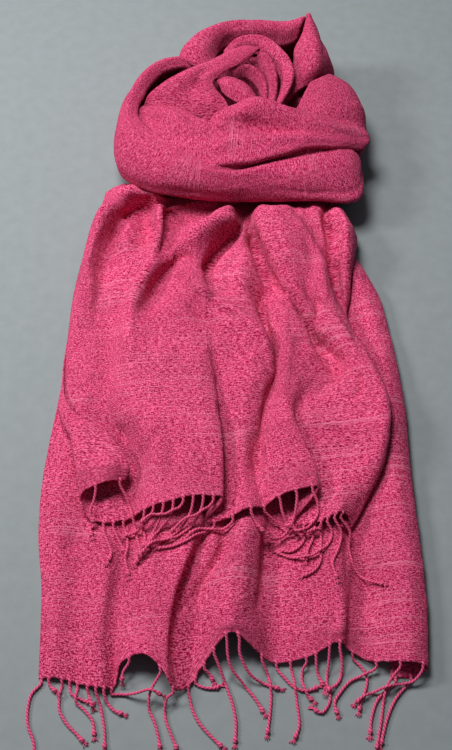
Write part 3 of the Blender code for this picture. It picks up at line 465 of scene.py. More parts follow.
def makeStudio():
    camera = newObject("camera", bpy.data.cameras.new("camera"))
    height, tilt = studio["cameraHeight"], math.radians(studio["cameraTilt"])
    camera.location = (-scarf["middleX"] * millimetre,
                       -height / math.tan(tilt) - scarf["middleY"] * millimetre, height)
    camera.rotation_euler = (math.radians(90) - tilt, 0, 0)
    camera.data.lens = studio["lens"]
    camera.data.sensor_fit = "VERTICAL"
    camera.data.sensor_height = studio["sensorHeight"]
    bpy.context.scene.camera = camera

    floorMesh = bpy.data.meshes.new("floor")
    reach = studio["floorReach"]
    floorMesh.from_pydata([(x * reach, y * reach, -studio["floorDrop"])
                           for x, y in ((-1, -1), (1, -1), (1, 1), (-1, 1))], [], [(0, 1, 2, 3)])
    floor = newObject("floor", floorMesh)
    paint, tree, shader = newMaterial("mattPaleGreyBoard", studio["floorFinish"])
    where = addNode(tree, "ShaderNodeTexCoord").outputs["Object"]
    speck = addNode(tree, "ShaderNodeTexNoise", None, studio["floorMarks"], {"Vector": where})
    tree.links.new(addRamp(tree, speck.outputs["Fac"], studio["floorTones"]),
                   shader.inputs["Base Color"])
    floorMesh.materials.append(paint)

    for name, place, size, power, colour in studio["lights"]:
        light = bpy.data.lights.new(name, "AREA")
        light.energy, light.size, light.color = power, size, colour
        lamp = newObject(name, light)
        lamp.location = place
        aim = Vector(studio["aim"]) - lamp.location
        lamp.rotation_euler = aim.to_track_quat("-Z", "Y").to_euler()
    sky = bpy.data.worlds.new("softRoom")
    sky.use_nodes = True
    background = sky.node_tree.nodes["Background"]
    background.inputs["Color"].default_value = studio["room"]
    background.inputs["Strength"].default_value = studio["roomLight"]
    bpy.context.scene.world = sky
    bpy.context.scene.view_settings.view_transform = "Standard"


longEnd = {
    # the lines that cross the folds, and each fold's x and z there; hem y comes first
    "lines": ("hem", -350, -290, -230, -160, -40),
    "folds": (
    # name           hem_y   x     z     x     z     x     z     x     z     x     z     x     z
    ("left_edge",    -402, -214, 1.0, -216, 1.0, -219, 1.0, -227, 1.0, -228, 1.0, -216, 1.0),
    ("left_crown",   -402, -196, 5.0, -198, 6.0, -200, 7.0, -204, 8.0, -204, 8.0, -196, 4.0),
    ("left_dip",     -408, -170, 3.0, -172, 3.5, -174, 4.0, -176, 5.0, -176, 4.0, -168, 3.0),
    ("left_ridge",   -415, -144, 9.0, -144, 12., -142, 12., -142, 8.0, -142, 4.0, -136, 3.0),
    ("left_tuck",    -413, -128, 3.0, -128, 5.0, -126, 6.0, -124, 5.0, -120, 3.5, -114, 3.0),
    ("arch_left",    -389, -120, 12., -118, 9.0, -114, 7.0, -110, 6.0, -104, 4.0, -98, 3.0),
    ("arch_crown",   -381, -94, 21., -94, 17., -92, 14., -88, 11., -84, 5.0, -78, 3.5),
    ("arch_right",   -396, -74, 20., -76, 18., -72, 15., -62, 13., -60, 5.0, -56, 3.5),
    ("lip",          -413, -62, 17., -63, 18., -54, 17., -32, 14., -36, 5.0, -34, 3.5),
    ("lip_under",    -418, -55, 7.0, -57, 6.0, -48, 6.0, -27, 6.0, -26, 4.0, -24, 3.0),
    ("facet_low",    -409, -40, 3.0, -42, 3.0, -36, 5.0, -16, 11., -12, 4.0, -12, 3.0),
    ("tube_left",    -386, -24, 9.0, -27, 8.0, -22, 8.0, -4, 8.0, 2, 4.0, 0, 3.0),
    ("tube_crown",   -358, 6, 26., 4, 27., 8, 25., 22, 22., 24, 6.0, 22, 3.5),
    ("tube_right",   -374, 34, 15., 33, 16., 36, 15., 42, 14., 46, 5.0, 44, 3.5),
    ("groove",       -384, 52, 4.0, 50, 4.0, 50, 3.5, 50, 4.0, 62, 3.5, 60, 3.0),
    ("plain",        -380, 92, 8.0, 90, 9.0, 90, 9.0, 90, 8.0, 92, 4.0, 88, 3.0),
    ("thin_ridge",   -364, 131, 14., 132, 15., 134, 14., 136, 12., 130, 4.0, 122, 3.0),
    ("thin_groove",  -369, 140, 6.0, 141, 7.0, 143, 7.0, 145, 6.0, 144, 3.5, 138, 3.0),
    ("valley",       -383, 164, 6.0, 163, 5.0, 165, 5.0, 167, 5.0, 168, 4.0, 166, 4.0),
    ("tube_rise",    -387, 188, 14., 188, 14., 188, 14., 188, 13., 188, 11., 190, 10.),
    ("tube_top",     -389, 212, 17., 212, 18., 213, 18., 212, 18., 210, 18., 208, 20.),
    ("right_turn",   -392, 230, 9.0, 233, 9.0, 234, 9.0, 232, 9.0, 229, 9.0, 226, 10.),
    ("right_under",  -398, 220, 1.6, 224, 1.4, 226, 1.4, 224, 1.4, 220, 1.4, 216, 1.4),
    ("right_end",    -402, 188, 1.0, 192, 1.0, 194, 1.0, 194, 1.0, 192, 1.0, 190, 1.0),
    ),
    "reach": (
    # y    left  right  tube height
    (60, -204, 215, 21.0),
    (120, -196, 203, 22.0),
    (165, -186, 184, 20.0),
    (210, -172, 160, 17.0),
    (250, -156, 148, 16.0),
    (286, -140, 142, 16.0),
    ),
    "rollWide": 52,
    "rolled": {"tube_rise": 0.5, "tube_top": 1.0, "right_turn": 0.5},   # share of the tube height
    "alongSteps": (3.0, 3.0, 3.0, 3.0, 4.0, 5.0, 5.0, 5.0, 5.0, 5.0, 5.0),
    "flatUnder": 0.2,      # cloth no higher than this over the table stays flat
    # width on the left and on the right of the line, rise, and the line's x and y
    "drawn": (
        (10, 3.5, -7.5, -33, -214, -36, -246, -46, -278, -56, -310, -62, -344, -63, -380,
         -60, -424),
        (5, 4, 3.5, -26, -216, -28, -244, -38, -276, -48, -308, -54, -344, -55, -384),
        (4, 8, -6.5, 6, -226, -4, -252, -24, -280, -42, -310, -56, -332),
        (5, 5, 3.5, -16, -224, -12, -244, -22, -268, -38, -292, -52, -316),
        (4, 7, -5.5, 43, -216, 48, -246, 46, -276, 41, -310, 34, -350),
        (4, 4, 3.0, 148, -226, 146, -260, 141, -300, 135, -340, 131, -372),
        (6, 9, -4.5, 150, -226, 161, -266, 165, -302, 158, -346),
        (6, 6, -2.4, -128, -272, -134, -310, -138, -350, -138, -396),
    ),
    "creases": (
        # from x, y    to x, y      bow  half width  rise
        (-206, -372, -150, -380, 3, 3.0, -0.7), (-210, -340, -146, -352, -3, 3.5, -0.8),
        (-200, -262, -176, -236, 3, 7, -1.8), (-190, -300, -165, -318, 3, 9, 1.4),
        (-222, -180, -196, -240, 4, 8, 1.6), (-108, -260, -96, -340, 6, 8, -2.0),
        (-86, -250, -70, -330, -5, 7, 1.8), (22, -262, 14, -340, 4, 6, 1.6),
        (46, -246, 58, -330, 5, 7, -2.2), (72, -262, 88, -340, -6, 9, 1.6),
        (104, -250, 112, -330, 5, 9, -1.8), (126, -300, 118, -360, 3, 7, -1.4),
        (158, -250, 170, -340, 6, 8, -1.6), (182, -200, 190, -300, 4, 9, -1.6),
        (204, -300, 224, -330, 3, 8, 1.3), (150, -352, 190, -368, 4, 5, -1.0),
        (200, -120, 222, -60, 5, 9, 1.6), (196, 20, 214, 70, 4, 8, -1.6),
        (-222, -80, -210, -20, 4, 8, -1.2),
    ),
    "crinkle": ((15, 26, 1.0), (7, 10, 0.42)),
    "crinkleSeed": 11.0,
    "hemSeed": 3.0,
}


def longGuides():
    last = {fold[0]: fold[-2] for fold in longEnd["folds"]}      # where each fold's row ends
    leftX, rightX = last["left_edge"], last["right_turn"]
    guides = []
    for name, hemY, *numbers in longEnd["folds"]:
        ys = (hemY,) + longEnd["lines"][1:]
        guide = [(x, y, halfWall + (z - halfWall) * scarf["longFoldRise"])
                 for y, x, z in zip(ys, numbers[0::2], numbers[1::2])]
        for y, left, right, tube in longEnd["reach"]:
            if name in longEnd["rolled"]:
                height = max(halfWall, longEnd["rolled"][name] * tube)
                guide.append((right + last[name] - rightX, y, height))
            elif name in ("right_under", "right_end"):
                guide.append((right + last[name] - rightX, y, halfWall))
            else:
                share = min((last[name] - leftX) / (rightX - longEnd["rollWide"] - leftX), 1.0)
                wide = right - longEnd["rollWide"] - left
                guide.append((left + share * wide, y, halfWall))
        guides.append(guide)
    return guides


def wavyHem(grid, lay, seed):
    # the first row of a hem is never quite straight
    for column in range(grid.shape[1]):
        wave = noise.noise(Vector((lay[0, column, 0] / scarf["hemWaveLong"], seed, 0.0)))
        inward = grid[1, column] - grid[0, column]
        grid[0, column] += inward / np.linalg.norm(inward) * wave * scarf["hemWaveDeep"]


def liftedGrid(grid, lay, end):
    # the sheet with its finer folds, creases and puckers
    normals = gridNormals(grid)
    lift = creaseHeights(grid[..., :2], end["creases"])
    lift += foldHeights(grid[..., :2], end["drawn"])
    lift += crinkle(lay, end["crinkle"], end["crinkleSeed"])
    return grid + normals * frontSide(normals) * lift[..., None]


def makeLongEnd(material):
    grid, across = gridThrough(longGuides(), longEnd["alongSteps"], scarf["sheetStep"])
    grid[..., 2] = np.maximum(grid[..., 2], halfWall)
    lay = clothLay(grid)
    wavyHem(grid, lay, longEnd["hemSeed"])
    lifted = liftedGrid(grid, lay, longEnd)
    flat = grid[..., 2] < halfWall + longEnd["flatUnder"]
    lifted[flat] = grid[flat]
    lifted[..., 2] = np.maximum(lifted[..., 2], halfWall)
    piece = makeCloth("longEndCloth", lifted, lay, material, floor=0.0)
    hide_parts("long_end")
    return piece, lifted, across


shortEnd = {
    # heights are above the long end's top
    "lines": ("hem", -150, -105, -60, 0, 55, 115, 165, 205, 238, 258, 273, "top"),
    "rises": (1.2, 1.2, 1.2, 1.2, 1.25, 1.3, 1.35, 1.45, 1.5, 1.5, 1.05, 1.0, 1.0),
    "folds": (
    # name; x, y, z of the hem point; x and z at each line, six of them in the second row; x, y, z
    # of the last point
    ("selvedge", -122, -163, 17, -118, 20, -142, 20, -198, 12, -211, 7, -209, 4,
     -206, 3, -199, 4, -192, 5, -184, 8, -177, 11, -172, 13, -170, 292, 9),
    ("corner_top", -148, -172, 27, -148, 27, -168, 22, -208, 12, -210, 4.5, -206, 4.5,
     -200, 8, -194, 12, -187, 16, -178, 20, -169, 23, -163, 24, -156, 302, 11),
    ("corner_fold", -177, -183, 14, -184, 13, -193, 12, -213, 7, -203, 4, -197, 7,
     -192, 13, -186, 18, -178, 22, -167, 27, -154, 30, -148, 33, -132, 305, 12),
    ("corner_under", -166, -209, 3, -170, 3, -176, 3, -204, 3.2, -190, 6, -186, 8,
     -183, 13, -176, 14, -167, 15, -156, 22, -144, 24, -137, 36, -118, 301, 7),
    ("left_flat", -140, -215, 4, -142, 4, -152, 4, -176, 6, -171, 10, -170, 9,
     -172, 7, -166, 5, -156, 6, -147, 10, -137, 8, -127, 35, -111, 296, 5),
    ("left_valley", -114, -208, 5, -112, 4, -122, 5, -152, 8, -152, 9, -152, 9,
     -150, 12, -138, 14, -137, 17, -134, 11, -126, 3, -115, 31, -104, 291, 4),
    ("tongue", -107, -205, 9, -105, 10, -117, 9, -143, 12, -145, 13, -144, 14,
     -131, 15, -114, 19, -110, 10, -112, 6, -106, 4, -98, 27, -93, 287, 7),
    ("pocket", -102, -204, 12, -99, 15, -111, 13, -135, 16, -138, 17, -137, 18,
     -118, 25, -93, 22, -87, 25, -88, 26, -88, 21, -77, 5, -75, 286, 4),
    ("lobe_left", -92, -201, 17, -90, 20, -100, 20, -120, 22, -124, 22, -122, 23,
     -98, 11, -75, 9, -75, 15, -78, 5, -77, 4, -49, 11, -50, 286, 7),
    ("lobe_crown", -70, -197, 21, -68, 24, -76, 24, -88, 25, -92, 25, -94, 20,
     -72, 17, -58, 17, -56, 20, -60, 8, -56, 7, -25, 12, -26, 286, 9),
    ("lobe_right", -40, -191, 24, -38, 26, -42, 26, -50, 26, -54, 25, -58, 22,
     -48, 22, -43, 20, -37, 28, -34, 13, -34, 9, -1, 11, -3, 286, 8),
    ("step_edge", -4, -193, 23, -4, 25, -6, 24, -12, 22, -20, 23, -26, 24,
     -31, 23, -32, 16, -18, 26, -10, 27, -9, 15, 13, 10, 12, 286, 6),
    ("step_under", -24, -215, 5, -16, 7, -15, 8, -13, 11, -12, 17, -2, 25,
     -24, 14, -25, 4, -5, 8, 6, 27, 8, 20, 21, 4, 22, 286, 5),
    ("mid_valley", 4, -213, 6, 4, 6, 4, 8, 2, 14, 8, 19, 24, 24,
     -14, 18, -15, 11, 4, 4, 17, 6, 20, 6, 27, 4, 28, 286, 5),
    ("mid_lobe", 24, -206, 10, 20, 11, 22, 14, 24, 19, 36, 22, 42, 23,
     4, 23, 4, 20, 14, 12, 23, 5, 26, 5, 32, 5, 33, 286, 5),
    ("mid_edge", 36, -202, 9, 30, 8, 36, 10, 42, 15, 57, 16, 52, 19,
     24, 21, 22, 22, 23, 19, 28, 11, 31, 6, 36, 5, 38, 286, 5),
    ("crease", 46, -198, 7, 38, 5, 42, 6, 47, 6, 64, 4, 58, 4,
     44, 9, 40, 14, 32, 13, 32, 9, 35, 7, 41, 6, 44, 286, 5),
    ("fold_left", 62, -188, 20, 50, 14, 50, 15, 53, 13, 72, 12, 66, 15,
     57, 6, 50, 5, 38, 9, 37, 18, 41, 13, 50, 12, 53, 286, 8),
    ("fold_crown", 86, -183, 29, 77, 27, 67, 24, 63, 19, 80, 19, 76, 21,
     73, 20, 61, 21, 46, 23, 46, 28, 52, 20, 62, 14, 64, 286, 9),
    ("fold_edge", 111, -180, 26, 109, 27, 93, 24, 81, 18, 92, 18, 88, 21,
     96, 24, 84, 30, 70, 31, 63, 30, 68, 22, 77, 14, 78, 286, 9),
    ("fold_under", 82, -219, 8, 92, 9, 89, 9, 90, 9, 117, 13, 105, 17,
     110, 22, 102, 28, 92, 30, 82, 28, 86, 22, 90, 12, 91, 286, 8),
    ("slit", 107, -220, 9, 121, 12, 112, 13, 113, 14, 148, 8, 120, 8,
     122, 26, 114, 24, 106, 27, 97, 23, 100, 16, 102, 8, 102, 286, 7),
    ("right_lobe", 126, -213, 14, 148, 18, 144, 19, 145, 20, 158, 20, 130, 23,
     132, 28, 124, 25, 116, 22, 109, 20, 112, 13, 113, 8, 113, 286, 7),
    ("right_crown", 141, -208, 15, 170, 19, 178, 21, 178, 22, 171, 25, 146, 28,
     139, 23, 131, 21, 124, 17, 119, 18, 122, 12, 122, 7, 122, 286, 7),
    ("right_edge", 149, -214, 10, 186, 14, 198, 16, 199, 18, 183, 21, 160, 23,
     144, 15, 137, 14, 132, 13, 128, 15, 131, 9, 130, 6, 130, 286, 6),
    ("outer_crease", 151, -220, 6, 190, 9, 202, 10, 204, 11, 188, 12, 166, 12,
     149, 9, 143, 7, 139, 6, 136, 7, 138, 6, 138, 6, 137, 285, 5),
    ("outer_tube", 147, -223, 4, 188, 4, 200, 5, 202, 5, 186, 6, 165, 6,
     157, 13, 157, 19, 161, 24, 157, 22, 152, 11, 148, 7, 146, 282, 7),
    ("outer_end", 136, -222, 3, 177, 3, 189, 3, 191, 3, 176, 3, 157, 3,
     166, 4, 170, 5, 177, 6, 172, 7, 165, 4, 159, 4, 156, 280, 4),
    ),
    # width on the left and on the right of the line, rise, and the line's x and y
    "drawn": (
        (9, 9, 5.0, -96, 282, -116, 288, -136, 278, -152, 256, -166, 236, -180, 214),
        (5, 6, -9.0, -146, 240, -136, 253, -124, 261, -112, 266, -98, 268),
        (6, 5, -4.0, -138, 250, -119, 241, -108, 226, -102, 206, -104, 186),
        (7, 10, -4.5, -140, 226, -156, 208, -168, 188, -173, 160, -172, 128),
        (7, 7, 3.5, -150, 214, -133, 188, -116, 162, -106, 140),
        (6, 4, 6.0, -100, 270, -93, 248, -90, 222, -91, 196, -99, 168, -106, 146),
        (4, 5, -9.0, -80, 284, -80, 262, -81, 236, -82, 212, -85, 184, -90, 160),
        (10, 10, -7.0, -96, 244, -70, 236, -44, 240, -20, 250, 6, 262),
        (9, 3.5, 7.0, 26, 240, 6, 230, -19, 217, -50, 201, -74, 178, -92, 154),
        (9, 8, 6.0, 12, 248, -13, 218, -40, 194, -74, 172, -102, 144, -117, 110, -126, 66, -130, 20,
         -128, -20),
        (8, 4, -12.0, 30, 250, 20, 228, 1, 203, -16, 182, -26, 160, -31, 134),
        (5, 6, -4.5, -86, 158, -68, 168, -50, 168, -38, 152),
        (6, 4, 4.5, -66, 162, -50, 158, -38, 144, -32, 128),
        (13, 12, -6.0, 30, 206, 18, 180, 8, 154, 2, 128, -4, 100),
        (9, 9, -5.0, -62, 176, -80, 156, -94, 128, -100, 96, -100, 60),
        (12, 5, 9.0, -84, 148, -56, 140, -32, 106, -4, 86, 22, 64, 44, 38, 56, 10, 60, -22),
        (8, 9, -7.0, -58, 118, -44, 92, -33, 70, -14, 56, 8, 40, 22, 14),
        (5, 8, -11.0, 33, 226, 40, 200, 48, 170, 60, 138, 74, 108, 84, 84),
        (7, 6, -7.0, 62, 140, 50, 112, 50, 80, 56, 50, 62, 24, 64, -6),
        (8, 5, 6.0, 40, 244, 47, 214, 60, 180, 74, 150, 88, 122, 104, 92, 122, 62, 138, 32, 150, 4),
        (7, 7, 4.5, 86, 112, 70, 98, 62, 72, 61, 44, 67, 20, 73, -2, 66, -34),
        (6, 6, -4.5, 92, 244, 114, 204, 137, 164, 149, 122, 158, 84),
        (4, 4, -20.0, 78, 116, 94, 88, 107, 66, 118, 44, 132, 16),
        (4, 9, -7.0, 150, 240, 153, 208, 157, 176, 158, 140, 156, 104),
        (3.5, 4, -3.6, 76, 130, 99, 114, 126, 90, 149, 70, 162, 50, 172, 18, 188, -16),
        (3, 3.5, -9.0, 168, -14, 170, -34, 164, -58),
        (6, 6, -7.0, 134, 238, 142, 204, 147, 168, 144, 134),
        (8, 8, 4.0, 160, 232, 171, 206, 168, 176, 160, 152, 156, 124),
        (8, 8, 3.0, 90, 236, 112, 196, 126, 160, 138, 124),
        (7, 7, -4.0, 102, 232, 122, 206, 130, 178),
        (8, 8, -4.0, 110, 20, 134, 4, 150, -16),
        (10, 10, -3.5, 56, 96, 36, 112, 10, 116, -10, 112),
    ),
    "creases": (
        # from x, y    to x, y      bow  half width  rise
        (-186, 150, -180, 96, 3, 6, 1.6), (-150, 150, -146, 92, 4, 7, 1.8),
        (-196, 96, -150, 88, -4, 4, -1.6), (-200, 62, -160, 52, 4, 4, -1.2),
        (-196, 20, -150, 8, -5, 5, -1.4), (-190, -20, -150, -10, 6, 7, 1.8),
        (-178, -40, -146, -52, -4, 6, -2.0), (-133, -14, -122, -66, 4, 11, -2.6),
        (-118, 60, -112, 0, 5, 12, 1.6), (-100, 116, -70, 100, 6, 7, -1.8),
        (-92, 84, -60, 70, 5, 7, 1.5), (-66, 60, -60, -10, 6, 10, -1.6),
        (-47, 96, 2, 56, -6, 10, -4.4), (-20, 52, -17, -14, 2, 7, -4.0),
        (-40, 20, -36, -40, 3, 9, 1.8), (-2, 40, 22, 10, 5, 9, 2.0), (10, -14, 34, -50, 6, 9, 1.8),
        (-8, -60, 28, -66, -3, 4, -1.2), (-6, -76, 30, -84, 3, 5, 1.2),
        (34, -94, 37, -152, 2, 8, -6.5), (14, -100, 10, -160, 3, 7, 1.6),
        (-112, -150, -84, -100, 3, 9, -5.0), (-67, -108, -68, -180, 2, 7, -3.2),
        (-92, -60, -84, -130, 4, 10, 1.6), (-46, -100, -40, -180, 3, 7, 1.4),
        (-140, -80, -128, -112, 3, 6, -2.6), (-168, -92, -150, -150, 5, 9, 1.6),
        (-182, -84, -178, -160, 4, 5, -2.2), (84, 34, 142, 22, 5, 9, -3.6),
        (94, 62, 118, 30, -4, 8, 1.6), (90, 8, 132, -8, 4, 8, 1.8),
        (100, -14, 156, -38, 7, 13, 3.0), (96, -60, 150, -78, 6, 10, -2.6),
        (110, -84, 160, -96, 4, 8, 1.8), (120, -120, 170, -130, 5, 9, -1.8),
        (130, -150, 150, -196, 4, 8, 1.6), (176, -60, 184, -130, 4, 6, -2.4),
        (60, -30, 78, -78, -5, 10, -3.6), (72, 40, 70, -14, 4, 8, 2.0),
        (56, -90, 76, -150, 6, 9, 2.0), (84, -110, 100, -160, 5, 8, -2.2),
        (4, 150, 30, 110, 5, 9, 1.4), (60, 200, 84, 150, 6, 9, 1.8),
    ),
    "crinkle": ((15, 24, 1.1), (7, 10, 0.5)),
    "crinkleSeed": 23.0,
    "hemSeed": 7.0,
    "acrossStep": 4.0,
    "nearBridge": 2,       # the layer spans hollows narrower than this many grid steps
    "farBridge": 7,        # and with this share of its height also wider ones
    "farShare": 0.55,
    "bridgeSoft": 0.6,
    "leastGap": 0.3,
}


def shortGuides():
    guides = []
    ys = shortEnd["lines"][1:-1]
    for name, *numbers in shortEnd["folds"]:
        middle = numbers[3:-3]
        guide = [numbers[:3]] + [(x, y, z) for y, x, z in zip(ys, middle[0::2], middle[1::2])]
        guide.append(numbers[-3:])
        guides.append([(x, y, z * rise) for (x, y, z), rise in zip(guide, shortEnd["rises"])])
    return guides


def spanHollows(heights, reach):
    # a cloth lies over the tops and passes smoothly over what is between them
    def shifted(values, axis):
        wide = np.pad(values, [(reach, reach) if a == axis else (0, 0) for a in (0, 1)], "edge")
        count = values.shape[axis]
        return [np.take(wide, range(s, s + count), axis) for s in range(2 * reach + 1)]

    weights = np.exp(-(np.arange(-reach, reach + 1) / (reach * shortEnd["bridgeSoft"])) ** 2)
    weights /= weights.sum()
    for axis in (0, 1):
        heights = np.max(shifted(heights, axis), axis=0)
    for axis in (0, 1):
        heights = sum(w * part for w, part in zip(weights, shifted(heights, axis)))
    return heights


def makeShortEnd(material, longWall):
    grid, across = gridThrough(shortGuides(), scarf["sheetStep"], shortEnd["acrossStep"])
    onLong = topFinder([longWall])
    under = np.array([[onLong(x, y) for x, y, _ in row] for row in grid])
    grid[..., 2] = np.maximum(grid[..., 2], halfWall + scarf["restGap"])
    lay = clothLay(grid)
    grid[..., 2] += np.maximum(spanHollows(under, shortEnd["nearBridge"]),
                               shortEnd["farShare"] * spanHollows(under, shortEnd["farBridge"]))
    wavyHem(grid, lay, shortEnd["hemSeed"])
    lifted = liftedGrid(grid, lay, shortEnd)
    lifted[..., 2] = np.maximum(lifted[..., 2], under + halfWall + shortEnd["leastGap"])
    piece = makeCloth("shortEndCloth", lifted, lay, material)
    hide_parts("short_end")
    return piece, lifted, across


loopShape = {
    "crinkle": ((14, 24, 0.9), (6, 9, 0.4)),
    "firstSeed": 31.0,     # each piece has puckers of its own
    "seedStep": 4.0,
    "edges": ("first", "last", "start", "end"),      # of the points across, and of the sections
}
